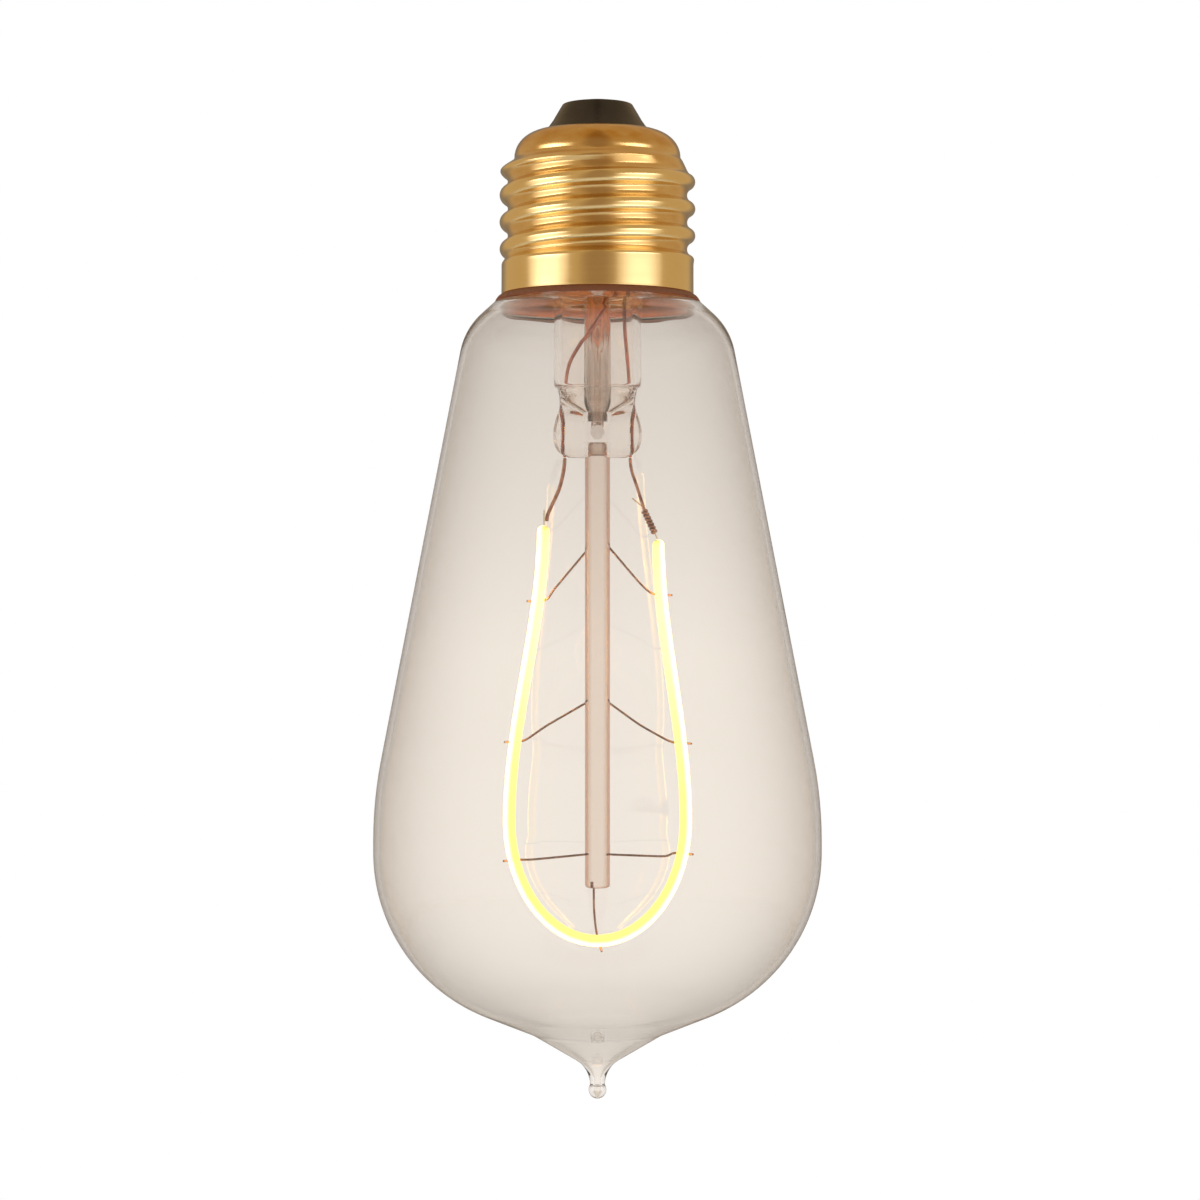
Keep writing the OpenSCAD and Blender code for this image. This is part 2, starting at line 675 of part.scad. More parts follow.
// Each seal wire runs through the press, from its inner lead up to its outer one
seal_top = waist_drop - 0.6;
module seal_wire(side) {
    color("#b0603c")
        translate([side * seal_wire_x, 0, fit - press_end])
            cylinder(d = seal_wire_d, h = press_end - seal_top - 2 * fit);
}

// Each outer lead goes up the flare's tube and through its pad in the board
lead_past_board = 0.8;
outer_lead_end = board_top - lead_past_board;
left_pad = [2.6, -2.2];
right_pad = [4.2, 0];
fuse_pad = [1, 5];
shell_pad = [-9, 0];
lead_straight = 0.8;
function up_tube(share) = mix(tube_end, board_drop, share);

// This one crosses in front of the exhaust tube; its bends are shares of the way up,
// across and out to the tube's clearance
left_bends = [[0.14, 0.07, 0.17], [0.32, 0.29, 0.7], [0.56, 0.6, 1], [0.79, 0.86, 1]];
module outer_lead_left() {
    clear = (exhaust_d + outer_lead_d) / 2 + lead_clear;
    color("#a8705c") wire(concat(
        [[-seal_wire_x, 0, seal_top], [-seal_wire_x, 0, tube_end + lead_straight]],
        [for (b = left_bends) [mix(-seal_wire_x, left_pad.x, b.y), -clear * b.z, up_tube(b.x)]],
        [[left_pad.x, left_pad.y, up_tube(0.91)], [left_pad.x, left_pad.y, outer_lead_end]]
    ), outer_lead_d);
}

module outer_lead_right() {
    color("#a8705c") wire([
        [seal_wire_x, 0, seal_top], [seal_wire_x, 0, tube_end + lead_straight],
        [seal_wire_x * 0.86, 0, up_tube(0.42)], [right_pad.x * 0.86, 0, up_tube(0.77)],
        [right_pad.x, right_pad.y, up_tube(0.9)], [right_pad.x, right_pad.y, outer_lead_end]
    ], outer_lead_d);
}

// Hooks: a root in the rod, a knee before the filament, and a tip that passes behind it.
// Each is [root, knee distance from the axis, knee, crossing], heights up from the rod's end.
hook_upper_left = [45.1, 6.1, 39.9, 38.7];
hook_upper_right = [45.7, 5.7, 41, 39.5];
hook_middle_left = [24.8, 7.1, 21.7, 19.7];
hook_middle_right = [24.8, 5.7, 21.9, 19.5];
hook_lower_left = [4.5, 8.9, 3.8, 3.7];
hook_lower_right = [4.5, 9.4, 4.2, 4.6];
hook_clear = filament_d / 2 + hook_d / 2 + 2 * fit;

function hook_route(side, h) =
    let (
        crossing = rod_end - h[3],
        x = limb_x(side, crossing),
        knee = [side * h[1], 0, rod_end - h[2]],
        face = [side * rod_d / 2, 0, rod_end - h[0]],
        root = face - unit(knee - face) * hook_bite
    )
    [
        root, knee, [side * (x - hook_clear * 1.3), 0, crossing - 0.1],
        [side * (x - hook_clear / 2), hook_clear, crossing],
        [side * (x + hook_clear / 2), hook_clear, crossing + 0.1],
        [side * (x + hook_tip), 0, crossing + 0.1]
    ];
module hook(side, h) {
    color("#7c6458") wire(hook_route(side, h), hook_d, sides = 6);
}
hook_routes = concat(
    [for (h = [hook_upper_left, hook_middle_left, hook_lower_left]) hook_route(-1, h)],
    [for (h = [hook_upper_right, hook_middle_right, hook_lower_right]) hook_route(1, h)]
);

// The last hook leaves the rod's end and passes behind the foot of the hairpin
bottom_route = [
    [-0.5, 0, rod_end - hook_bite], [-0.5, 0, rod_end + hairpin_hang * 0.4],
    [-0.2, 0, hairpin_end - hook_clear * 1.3], [0, hook_clear, hairpin_end - hook_clear / 2],
    [0.2, hook_clear, hairpin_end + hook_clear / 2], [0.6, 0, hairpin_end + hook_tip]
];
module hook_bottom() {
    color("#7c6458") wire(bottom_route, hook_d, sides = 6);
}

module support_rod() {
    color("#cfc8c0", 0.5) difference() {
        translate([0, 0, -rod_end]) cylinder(d = rod_d, h = rod_end - press_end + rod_grip - fit);
        // a blind hole for each hook's root
        for (route = hook_routes) {
            t = unit(route[1] - route[0]);
            translate([route[0].x - t.x * fit, 0, -(route[0].z - t.z * fit)])
                rotate([0, atan2(t.x, -t.z), 0])
                    cylinder(d = hook_d + 2 * fit, h = hook_bite + 2);
        }
        translate([bottom_route[0].x, 0, -rod_end - 1])
            cylinder(d = hook_d + 2 * fit, h = hook_bite + 1 + fit);
    }
}

// A round board that rests on the flare's rim, with its parts on the cap's side
module driver_board() {
    hole = outer_lead_d + 2 * fit;
    color("#2f6b4a") translate([0, 0, -board_drop]) difference() {
        cylinder(r = flare_r - board_inset, h = board_t);
        for (pad = [left_pad, right_pad])
            translate([pad.x, pad.y, -1]) cylinder(d = hole, h = board_t + 2);
        for (pad = [fuse_pad, shell_pad])
            translate([pad.x, pad.y, -1]) cylinder(d = driver_wire_d + 2 * fit, h = board_t + 2);
    }
}

module on_board(x, y) {
    translate([x, y, fit - board_top]) children();
}

module capacitor() {
    color("#3a4a6a") on_board(-5.4, 3.4) {
        cylinder(d = capacitor_d, h = capacitor_h);
        translate([0, 0, capacitor_h]) cylinder(d = capacitor_d - 1, h = 0.2);
    }
}

module rectifier() {
    color("#1c1c1e") on_board(4.8, -4.6) translate([-2.4, -2, 0]) cube([4.8, 4, 1.6]);
}

module driver_chip() {
    color("#1c1c1e") on_board(-2.6, -5.6) translate([-2.5, -2, 0]) cube([5, 4, 1.5]);
}

module chip_resistors() {
    color("#26282c") for (y = [-1.6, 0.2, 2])
        on_board(7.4, y) translate([-1, -0.6, 0]) cube([2, 1.2, 0.6]);
}

// The fuse resistor stands on its lead in an insulating sleeve
fuse_stand = 1.2;
module fuse_resistor() {
    color("#8fb0a0") union() {
        on_board(fuse_pad.x, fuse_pad.y) translate([0, 0, fuse_stand]) cylinder(d = fuse_d, h = fuse_len);
        on_board(fuse_pad.x, fuse_pad.y) translate([0, 0, -board_t])
            cylinder(d = driver_wire_d, h = board_t + fuse_stand + 0.1);
    }
}

module fuse_sleeve() {
    color("#e8e4da") on_board(fuse_pad.x, fuse_pad.y) difference() {
        cylinder(d = fuse_d + 2 * fit + 2 * sleeve_wall, h = fuse_len + fuse_stand + 1);
        translate([0, 0, -1]) cylinder(d = fuse_d + 2 * fit, h = fuse_len + fuse_stand + 3);
    }
}

// From the fuse resistor up into the contact's rivet
module contact_lead() {
    fuse_top = board_top - fuse_stand - fuse_len - fit;
    rivet_end = contact_h + contact_seat + rivet_len;
    color("#c8c4bc") wire([
        [fuse_pad.x, fuse_pad.y, fuse_top - fit], [fuse_pad.x, fuse_pad.y, fuse_top - 1.8],
        [0, 0.6, rivet_end + 2.2], [0, 0, rivet_end + 1], [0, 0, contact_h + contact_seat + 0.8]
    ], driver_wire_d);
}

// From the board's edge up the inside of the shell to its solder joint
solder_d = 1.4;
solder_at = [-(barrel_d / 2 - shell_wall - solder_d / 2 - 2 * fit), 0, dome_end];
module shell_lead() {
    color("#c8c4bc") wire([
        [shell_pad.x, 0, board_drop], [shell_pad.x, 0, dome_end + 2 * thread_start_len],
        [solder_at.x, 0, solder_at.z + solder_d], [solder_at.x, 0, solder_at.z + solder_d / 2 + fit]
    ], driver_wire_d);
}

module shell_solder() {
    color("#d8d8dc") translate([solder_at.x, 0, -solder_at.z]) sphere(d = solder_d);
}

screw_shell();
insulator();
centre_contact();
cement_ring();
glass_envelope();
stem_flare();
exhaust_tube();
support_rod();
outer_lead_left();
outer_lead_right();
seal_wire(-1);  // seal_wire_left
seal_wire(1);  // seal_wire_right
inner_lead_left();
inner_lead_right();
hook(-1, hook_upper_left);
hook(1, hook_upper_right);
hook(-1, hook_middle_left);
hook(1, hook_middle_right);
hook(-1, hook_lower_left);
hook(1, hook_lower_right);
hook_bottom();
filament_strip();
filament_chips();
filament_coating();
filament_tab(left_tab);  // filament_tab_left
filament_tab(right_tab);  // filament_tab_right
driver_board();
capacitor();
rectifier();
driver_chip();
chip_resistors();
fuse_resistor();
fuse_sleeve();
contact_lead();
shell_lead();
shell_solder();
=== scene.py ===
import json
from math import acos, asin, ceil, copysign, cos, degrees, inf, pi, radians, sin, sqrt, tan

import bmesh
import bpy
import numpy as np
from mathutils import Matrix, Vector, noise
from numpy.linalg import norm

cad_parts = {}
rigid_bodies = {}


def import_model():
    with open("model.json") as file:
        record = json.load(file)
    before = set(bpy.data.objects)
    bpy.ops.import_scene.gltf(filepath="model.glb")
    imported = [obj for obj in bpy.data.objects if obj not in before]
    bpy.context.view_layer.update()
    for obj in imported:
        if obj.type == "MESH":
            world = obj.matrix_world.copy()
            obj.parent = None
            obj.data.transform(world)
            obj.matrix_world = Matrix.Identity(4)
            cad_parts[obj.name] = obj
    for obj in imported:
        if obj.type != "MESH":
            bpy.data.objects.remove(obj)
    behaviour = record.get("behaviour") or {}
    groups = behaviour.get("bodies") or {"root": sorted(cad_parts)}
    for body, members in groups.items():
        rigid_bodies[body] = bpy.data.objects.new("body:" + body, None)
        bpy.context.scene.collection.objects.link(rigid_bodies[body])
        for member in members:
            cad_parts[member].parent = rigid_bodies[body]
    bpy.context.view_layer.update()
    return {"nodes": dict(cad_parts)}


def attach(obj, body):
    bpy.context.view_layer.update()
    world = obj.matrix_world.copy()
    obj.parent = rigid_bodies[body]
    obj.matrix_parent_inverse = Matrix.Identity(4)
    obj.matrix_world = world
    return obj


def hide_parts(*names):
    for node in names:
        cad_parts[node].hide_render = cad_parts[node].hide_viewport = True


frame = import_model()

# Lengths are in millimetres unless a line says otherwise. A drop is a distance under the centre
# contact's face, as in the part's own source, and the filament lies in the X-Z plane.
mm = 0.001
body = "root"
scene = bpy.context.scene

# camera, level with the middle of the glass
view = {
    "distance": 382,  # from the lamp's axis
    "drop": 67.2,
    "aside": 0.34,  # the axis stands a little left of the picture's middle
    "frameWidth": 161.8,  # what the picture's width covers at the axis
    "sensor": 36,
}
cameraData = bpy.data.cameras.new("camera")
cameraData.sensor_width = view["sensor"]
cameraData.lens = view["sensor"] * view["distance"] / view["frameWidth"]
cameraData.clip_start = 0.01
camera = bpy.data.objects.new("camera", cameraData)
camera.location = (view["aside"] * mm, -view["distance"] * mm, -view["drop"] * mm)
camera.rotation_euler = (pi / 2, 0, 0)
scene.collection.objects.link(camera)
scene.camera = camera
print("camera set")


# sRGB hex to linear
def linear(colour):
    channels = [int(colour[i:i + 2], 16) / 255 for i in (1, 3, 5)]
    return tuple(c / 12.92 if c <= 0.04045 else ((c + 0.055) / 1.055) ** 2.4 for c in channels) + (1,)


# adds a shader node; a socket takes a fixed value, or a link from another node's output, or from
# the first output of a node
def addNode(tree, kind, sockets=None, **settings):
    node = tree.nodes.new("ShaderNode" + kind)
    for name, value in settings.items():
        setattr(node, name, value)
    for socket, value in (sockets or {}).items():
        if isinstance(value, bpy.types.Node):
            value = value.outputs[0]
        if isinstance(value, bpy.types.NodeSocket):
            tree.links.new(value, node.inputs[socket])
        else:
            node.inputs[socket].default_value = value
    return node


# an empty material, its tree and the place of the shaded point
def startMaterial(name):
    material = bpy.data.materials.new(name)
    material.use_nodes = True
    tree = material.node_tree
    tree.nodes.clear()
    return material, tree, addNode(tree, "TexCoord").outputs["Object"]


# how far the shaded point is from the lamp's axis
def axisDistance(tree, place):
    flat = addNode(tree, "VectorMath", {0: place, 1: (1, 1, 0)}, operation="MULTIPLY")
    return addNode(tree, "VectorMath", {0: flat}, operation="LENGTH").outputs["Value"]


# the two values that a range starts from or is mapped to
def ends(side, pair, unit=1):
    return {side + " Min": pair[0] * unit, side + " Max": pair[1] * unit}


# the scale of a pattern with features of these sizes
def scales(sizes):
    return tuple(1 / (size * mm) for size in sizes)


usualNoise = (0.3, 0.7)  # a noise mostly stays between these


# Cap of brass strip, drawn, rolled and lacquered: a pale warm gloss, with soft drawing lines
# round the cap, and a browner tone painted into the thread's roots and over the dome as painted shade.
brassLook = {
    "tones": ("#f0dba6", "#ead098"), "toneSize": 5, "gloss": (0.14, 0.22),
    "lineSize": (9, 9, 0.35),  # real lines are finer, these are as coarse as they need to show
    "lineDepth": 0.006, "lineStrength": 0.6,
    "film": "#cc9434", "patchSize": (3, 3, 1.2), "patchiness": (0.5, 1),
    # where the browner tone of painted shade lies: the thread's roots and the dome
    "threadR": (12.15, 12.8), "rootShade": (0.55, 0), "domeDrops": (8.6, 6.2), "domeShade": (0, 1),
    "lacquer": 0.5, "lacquerRoughness": 0.12,
}


def lacqueredBrass():
    look = brassLook
    material, tree, place = startMaterial("lacqueredRolledBrass")
    drift = addNode(tree, "TexNoise", {
        "Vector": place, "Scale": 1 / (look["toneSize"] * mm), "Detail": 4})
    tone = addNode(tree, "Mix", {
        0: drift, 6: linear(look["tones"][0]), 7: linear(look["tones"][1])}, data_type="RGBA")
    stretched = addNode(tree, "Mapping", {"Vector": place, "Scale": scales(look["lineSize"])})
    lines = addNode(tree, "TexNoise", {"Vector": stretched, "Scale": 1, "Detail": 4})
    # painted shade: the browner tone is strongest in the roots and over the dome, and patchy
    patchPlace = addNode(tree, "Mapping", {"Vector": place, "Scale": scales(look["patchSize"])})
    patches = addNode(tree, "TexNoise", {"Vector": patchPlace, "Scale": 1, "Detail": 3})
    patchy = addNode(tree, "MapRange", {
        "Value": patches, **ends("From", usualNoise), **ends("To", look["patchiness"])})
    root = addNode(tree, "MapRange", {
        "Value": axisDistance(tree, place), **ends("From", look["threadR"], mm),
        **ends("To", look["rootShade"])})
    height = addNode(tree, "SeparateXYZ", {"Vector": place})
    dome = addNode(tree, "MapRange", {
        "Value": height.outputs["Z"], **ends("From", look["domeDrops"], -mm),
        **ends("To", look["domeShade"])})
    most = addNode(tree, "Math", {0: root, 1: dome}, operation="MAXIMUM")
    film = addNode(tree, "Math", {0: most, 1: patchy}, operation="MULTIPLY")
    # the painted shade mixed into the brass tone
    colour = addNode(tree, "Mix", {
        0: film, 6: tone.outputs[2], 7: linear(look["film"])}, data_type="RGBA")
    gloss = addNode(tree, "MapRange", {
        "Value": lines, **ends("From", usualNoise), **ends("To", look["gloss"])})
    relief = addNode(tree, "Bump", {
        "Height": lines, "Strength": look["lineStrength"], "Distance": look["lineDepth"] * mm})
    shader = addNode(tree, "BsdfPrincipled", {
        "Base Color": colour.outputs[2], "Metallic": 1, "Roughness": gloss,
        "Coat Weight": look["lacquer"], "Coat Roughness": look["lacquerRoughness"], "Normal": relief})
    addNode(tree, "OutputMaterial", {"Surface": shader})
    return material


# Plain finishes. Each has two tones that drift over so many mm, a grain that carries the gloss
# and a relief as deep as the real surface shows. What most of them share stands first.
commonFinish = {"ior": 1.5, "metallic": 0, "blend": (0.35, 0.65), "harshness": 0.6}
finishes = {
    # a black glass pressed hot: near black, glossy and a little uneven
    "insulator": {
        "name": "pressedBlackVitrite", "tones": ("#120c0a", "#1c1411"), "drift": 2.5, "grain": 1.6,
        "relief": 0.03, "gloss": (0.14, 0.3), "ior": 1.55},
    # pressed and tinned brass: a soft grey-gold gloss, scuffed
    "contact": {
        "name": "tinnedPressedBrass", "tones": ("#cfc7b4", "#b7ab92"), "drift": 1.5, "grain": 0.5,
        "relief": 0.012, "gloss": (0.22, 0.42), "metallic": 1},
    # resin cement squeezed out and baked: red-brown, painted lighter inside the collar as painted light for
    # the filament's glow there, and darker on the lumpy and dully shining bead outside
    "cement": {
        "name": "bakedBasingCement", "tones": ("#bd7044", "#9c5732"), "drift": 1.4, "blend": (0, 1),
        "grain": 0.45, "harshness": 0.5, "relief": 0.1, "gloss": (0.4, 0.75), "crust": "#6a3a1e",
        "crustR": (12.75, 13.15)},
    # drawn copper, browned by the flame: a satin copper gloss
    "outer_lead": {
        "name": "flameBrownedCopper", "tones": ("#b5674a", "#8a4430"), "drift": 1.5, "grain": 0.5,
        "relief": 0.015, "gloss": (0.25, 0.45), "metallic": 1},
    # copper-clad wire with a borate skin, sealed in the glass: red and glossy
    "seal_wire": {
        "name": "boratedDumetWire", "tones": ("#c9683f", "#a24a2c"), "drift": 1, "grain": 0.4,
        "relief": 0.01, "gloss": (0.18, 0.35), "metallic": 1},
    # drawn nickel-iron, browned near the seal: grey-brown satin
    "inner_lead": {
        "name": "drawnNickelIron", "tones": ("#a87a60", "#74483a"), "drift": 1.2, "grain": 0.4,
        "relief": 0.012, "gloss": (0.25, 0.45), "metallic": 1},
    # drawn molybdenum: dark grey-brown, satin
    "hook_wire": {
        "name": "drawnMolybdenum", "tones": ("#94786a", "#6e5346"), "drift": 1, "grain": 0.3,
        "relief": 0.008, "gloss": (0.22, 0.4), "metallic": 1},
    # moulded silicone over a printed strip: pale yellow, matt
    "strip": {
        "name": "printedFlexStrip", "tones": ("#efe2b8", "#e0cf98"), "drift": 1, "grain": 0.3,
        "relief": 0.008, "gloss": (0.4, 0.6)},
    # sawn light chips: pale, with a fine saw grain
    "chips": {
        "name": "sawnSapphireChip", "tones": ("#f4eed8", "#e6dcb8"), "drift": 0.6, "grain": 0.15,
        "relief": 0.004, "gloss": (0.2, 0.4), "ior": 1.76},
    # stamped and gold-flashed steel: pale gold, bright
    "tab": {
        "name": "goldFlashedTab", "tones": ("#e6cfa4", "#c9ae82"), "drift": 0.8, "grain": 0.3,
        "relief": 0.006, "gloss": (0.2, 0.35), "metallic": 1},
    # punched phenolic paper board: warm brown, with a satin skin and the paper faint below
    "board": {
        "name": "punchedPhenolicPaper", "tones": ("#a86a3c", "#8c522a"), "drift": 1.5, "grain": 0.6,
        "relief": 0.015, "gloss": (0.35, 0.5)},
    # shrunk polyester sleeve: dark blue and smooth
    "capacitor_sleeve": {
        "name": "shrunkPolyesterSleeve", "tones": ("#33446a", "#2a3858"), "drift": 2, "grain": 0.8,
        "relief": 0.015, "gloss": (0.3, 0.45), "ior": 1.57},
    # moulded epoxy: matt black with a fine spark-eroded grain
    "package": {
        "name": "mouldedEpoxy", "tones": ("#1d1d1f", "#28282b"), "drift": 0.8, "grain": 0.2,
        "relief": 0.008, "gloss": (0.45, 0.65), "ior": 1.55},
    # dipped lacquer: grey-green with a soft shine
    "fuse_body": {
        "name": "dippedResistorLacquer", "tones": ("#93b3a4", "#7d9d90"), "drift": 1, "grain": 0.5,
        "relief": 0.02, "gloss": (0.3, 0.45)},
    # braided glass fibre: off-white and matt
    "sleeve": {
        "name": "braidedGlassSleeve", "tones": ("#ece8dd", "#d6d0c0"), "drift": 0.5, "grain": 0.25,
        "relief": 0.04, "gloss": (0.6, 0.8)},
    # dip-tinned copper: bright grey
    "tinned_wire": {
        "name": "dipTinnedCopper", "tones": ("#cfccc4", "#aaa59a"), "drift": 1, "grain": 0.4,
        "relief": 0.012, "gloss": (0.2, 0.4), "metallic": 1},
    # soft solder, cooled in the air: grey, with a frosty bloom
    "solder": {
        "name": "cooledSoftSolder", "tones": ("#c9cbd0", "#9ea1a8"), "drift": 0.7, "grain": 0.3,
        "relief": 0.02, "gloss": (0.25, 0.5), "metallic": 1},
}


def makeFinish(look):
    look = {**commonFinish, **look}
    material, tree, place = startMaterial(look["name"])
    drift = addNode(tree, "TexNoise", {"Vector": place, "Scale": 1 / (look["drift"] * mm), "Detail": 3})
    grain = addNode(tree, "TexNoise", {
        "Vector": place, "Scale": 1 / (look["grain"] * mm), "Detail": 4,
        "Roughness": look["harshness"]})
    blend = addNode(tree, "MapRange", {"Value": drift, **ends("From", look["blend"])})
    tone = addNode(tree, "Mix", {
        0: blend, 6: linear(look["tones"][0]), 7: linear(look["tones"][1])}, data_type="RGBA")
    # painted light: inside the collar the cement keeps its lighter tones, and out on the bead it turns to
    # the bead's darker tone
    if "crust" in look:
        outside = addNode(tree, "MapRange", {
            "Value": axisDistance(tree, place), **ends("From", look["crustR"], mm)})
        tone = addNode(tree, "Mix", {
            0: outside, 6: tone.outputs[2], 7: linear(look["crust"])}, data_type="RGBA")
    gloss = addNode(tree, "MapRange", {
        "Value": grain, **ends("From", usualNoise), **ends("To", look["gloss"])})
    relief = addNode(tree, "Bump", {"Height": grain, "Distance": look["relief"] * mm})
    shader = addNode(tree, "BsdfPrincipled", {
        "Base Color": tone.outputs[2], "Metallic": look["metallic"], "Roughness": gloss,
        "IOR": look["ior"], "Normal": relief})
    addNode(tree, "OutputMaterial", {"Surface": shader})
    return material


# Soda-lime glass, clear but for a warm grey smoke. Each has a tone near the cap and one lower down,
# the one near the cap darker as painted shade, and a darker tone painted where it is seen edge on as
# painted shade, on the rod a painted reflection of the filament's warm light, and slow ripples from the
# blowing or drawing.
glassLooks = {
    "envelope_glass": {
        "name": "blownSodaGlass", "tones": ("#ebe7e3", "#fcf8f3"), "drops": (27, 75), "edge": "#a5a09d",
        "edgeSpan": (0.12, 1), "edgePower": 1.6, "absorbs": "#c4b3a0", "density": 80,
        "ripple": (14, 14, 22), "depth": 0.012},
    "stem_glass": {
        "name": "pinchedStemGlass", "tones": ("#fffcf9", "#fffcf9"), "drops": (27, 50), "edge": "#efe3d8",
        "edgeSpan": (0.6, 1), "edgePower": 1, "absorbs": "#c4ad98", "density": 20,
        "ripple": (3, 3, 4), "depth": 0.02},
    # the rod's salmon edge tone is a painted reflection of the filament's warm light
    "rod_glass": {
        "name": "drawnRodGlass", "tones": ("#f8f0e8", "#fbf5ef"), "drops": (48, 70), "edge": "#bd8f78",
        "edgeSpan": (0.08, 0.4), "edgePower": 1, "absorbs": "#c8a48a", "density": 60,
        "ripple": (3, 3, 30), "depth": 0.004},
}


def clearGlass(look):
    material, tree, place = startMaterial(look["name"])
    # painted shade: the glass is greyer near the cap and clearer lower down
    height = addNode(tree, "SeparateXYZ", {"Vector": place})
    fade = addNode(tree, "MapRange", {"Value": height.outputs["Z"], **ends("From", look["drops"], -mm)})
    tone = addNode(tree, "Mix", {
        0: fade, 6: linear(look["tones"][0]), 7: linear(look["tones"][1])}, data_type="RGBA")
    # painted shade at the edges: a darker tone mixed in where the glass is seen edge on
    facing = addNode(tree, "LayerWeight", {"Blend": 0.5})
    rim = addNode(tree, "MapRange", {
        "Value": facing.outputs["Facing"], **ends("From", look["edgeSpan"])})
    steep = addNode(tree, "Math", {0: rim, 1: look["edgePower"]}, operation="POWER")
    edgePainted = addNode(tree, "Mix", {
        0: steep, 6: tone.outputs[2], 7: linear(look["edge"])}, data_type="RGBA")
    stretched = addNode(tree, "Mapping", {"Vector": place, "Scale": scales(look["ripple"])})
    ripple = addNode(tree, "TexNoise", {"Vector": stretched, "Scale": 1, "Detail": 2})
    relief = addNode(tree, "Bump", {"Height": ripple, "Distance": look["depth"] * mm})
    shader = addNode(tree, "BsdfPrincipled", {
        "Base Color": edgePainted.outputs[2], "Roughness": 0, "IOR": 1.52, "Transmission Weight": 1,
        "Normal": relief})
    smoke = addNode(tree, "VolumeAbsorption", {
        "Color": linear(look["absorbs"]), "Density": look["density"]})
    addNode(tree, "OutputMaterial", {"Surface": shader, "Volume": smoke})
    return material


# Phosphor in cast silicone over the lit chips: white hot to the eye on the chips' side, the
# outer one, and yellow on the inner side, where the strip hides them.
glow = {
    "silicone": "#ffd27a", "inner": "#ffee70", "outer": "#ffc878", "strengths": (0.6, 7),
    "blend": (-0.15, 0.6),  # from the strip's side to the chips' side, as shares of the radius
    "cloudSize": 1.1, "clouds": (0.35, 0.65), "dip": (0.8, 1),
}


def litPhosphor():
    material, tree, place = startMaterial("castPhosphorSilicone")
    side = addNode(tree, "Attribute", attribute_name="chipSide")
    heat = addNode(tree, "MapRange", {
        "Value": side.outputs["Fac"], **ends("From", glow["blend"])}, interpolation_type="SMOOTHSTEP")
    colour = addNode(tree, "Mix", {
        0: heat, 6: linear(glow["inner"]), 7: linear(glow["outer"])}, data_type="RGBA")
    level = addNode(tree, "MapRange", {"Value": heat, **ends("To", glow["strengths"])})
    cloud = addNode(tree, "TexNoise", {"Vector": place, "Scale": 1 / (glow["cloudSize"] * mm)})
    uneven = addNode(tree, "MapRange", {
        "Value": cloud, **ends("From", glow["clouds"]), **ends("To", glow["dip"])})
    strength = addNode(tree, "Math", {0: level, 1: uneven}, operation="MULTIPLY")
    shader = addNode(tree, "BsdfPrincipled", {
        "Base Color": linear(glow["silicone"]), "Roughness": 0.5, "IOR": 1.41,
        "Emission Color": colour.outputs[2], "Emission Strength": strength})
    addNode(tree, "OutputMaterial", {"Surface": shader})
    return material


materials = {"brass": lacqueredBrass(), "coating": litPhosphor()}
materials.update({slot: makeFinish(look) for slot, look in finishes.items()})
materials.update({slot: clearGlass(look) for slot, look in glassLooks.items()})
print("materials made")


def mix(a, b, t):
    return a + (b - a) * t


def ease(t):
    u = min(1, max(0, t))
    return u * u * (3 - 2 * u)


def turns(sides):
    return [2 * pi * j / sides for j in range(sides)]


# A solid skinned over rings of equal length, which stands for CAD nodes. A closed one comes back
# to its first ring, and an open one is capped at both ends.
def addSkin(name, rings, slot, nodes, closed=False, material=None):
    count, around = len(rings), len(rings[0])
    faces = []
    for i in range(count if closed else count - 1):
        a, b = i * around, (i + 1) % count * around
        for j in range(around):
            k = (j + 1) % around
            faces.append((a + j, b + j, b + k, a + k))
    if not closed:
        faces.append(tuple(range(around)))
        faces.append(tuple(reversed(range((count - 1) * around, count * around))))
    mesh = bpy.data.meshes.new(name)
    mesh.from_pydata([tuple(c * mm for c in p) for ring in rings for p in ring], [], faces)
    solid = bmesh.new()
    solid.from_mesh(mesh)
    if solid.calc_volume(signed=True) < 0:
        bmesh.ops.reverse_faces(solid, faces=solid.faces)
    solid.to_mesh(mesh)
    solid.free()
    mesh.polygons.foreach_set("use_smooth", [True] * len(mesh.polygons))
    mesh.materials.append(materials[material or slot])
    piece = bpy.data.objects.new(name, mesh)
    scene.collection.objects.link(piece)
    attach(piece, body)
    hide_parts(*nodes)
    return piece


# rings of a solid of revolution from [radius, drop]; a point on the axis becomes a tiny ring
def latheRings(profile, sides):
    leastR = 0.01
    return [[(max(r, leastR) * cos(a), -max(r, leastR) * sin(a), -drop) for a in turns(sides)]
            for r, drop in profile]


# rounds the corners of a path given as [radius, drop, rounding]
def roundedPath(corners, step):
    path = []
    for i, (x, y, r) in enumerate(corners):
        b = np.array((x, y), float)
        if r == 0:
            path.append(b)
            continue
        u = np.array(corners[i - 1][:2], float) - b
        v = np.array(corners[i + 1][:2], float) - b
        u, v = u / norm(u), v / norm(v)
        half = acos(float(u @ v)) / 2
        centre = b + (u + v) / norm(u + v) * r / sin(half)
        start = b + u * r / tan(half) - centre
        turn = (pi - 2 * half) * copysign(1, float(u[1] * v[0] - u[0] * v[1]))
        steps = max(2, ceil(abs(degrees(turn)) / step))
        for k in range(steps + 1):
            c, s = cos(turn * k / steps), sin(turn * k / steps)
            path.append(centre + (start[0] * c - start[1] * s, start[0] * s + start[1] * c))
    return path


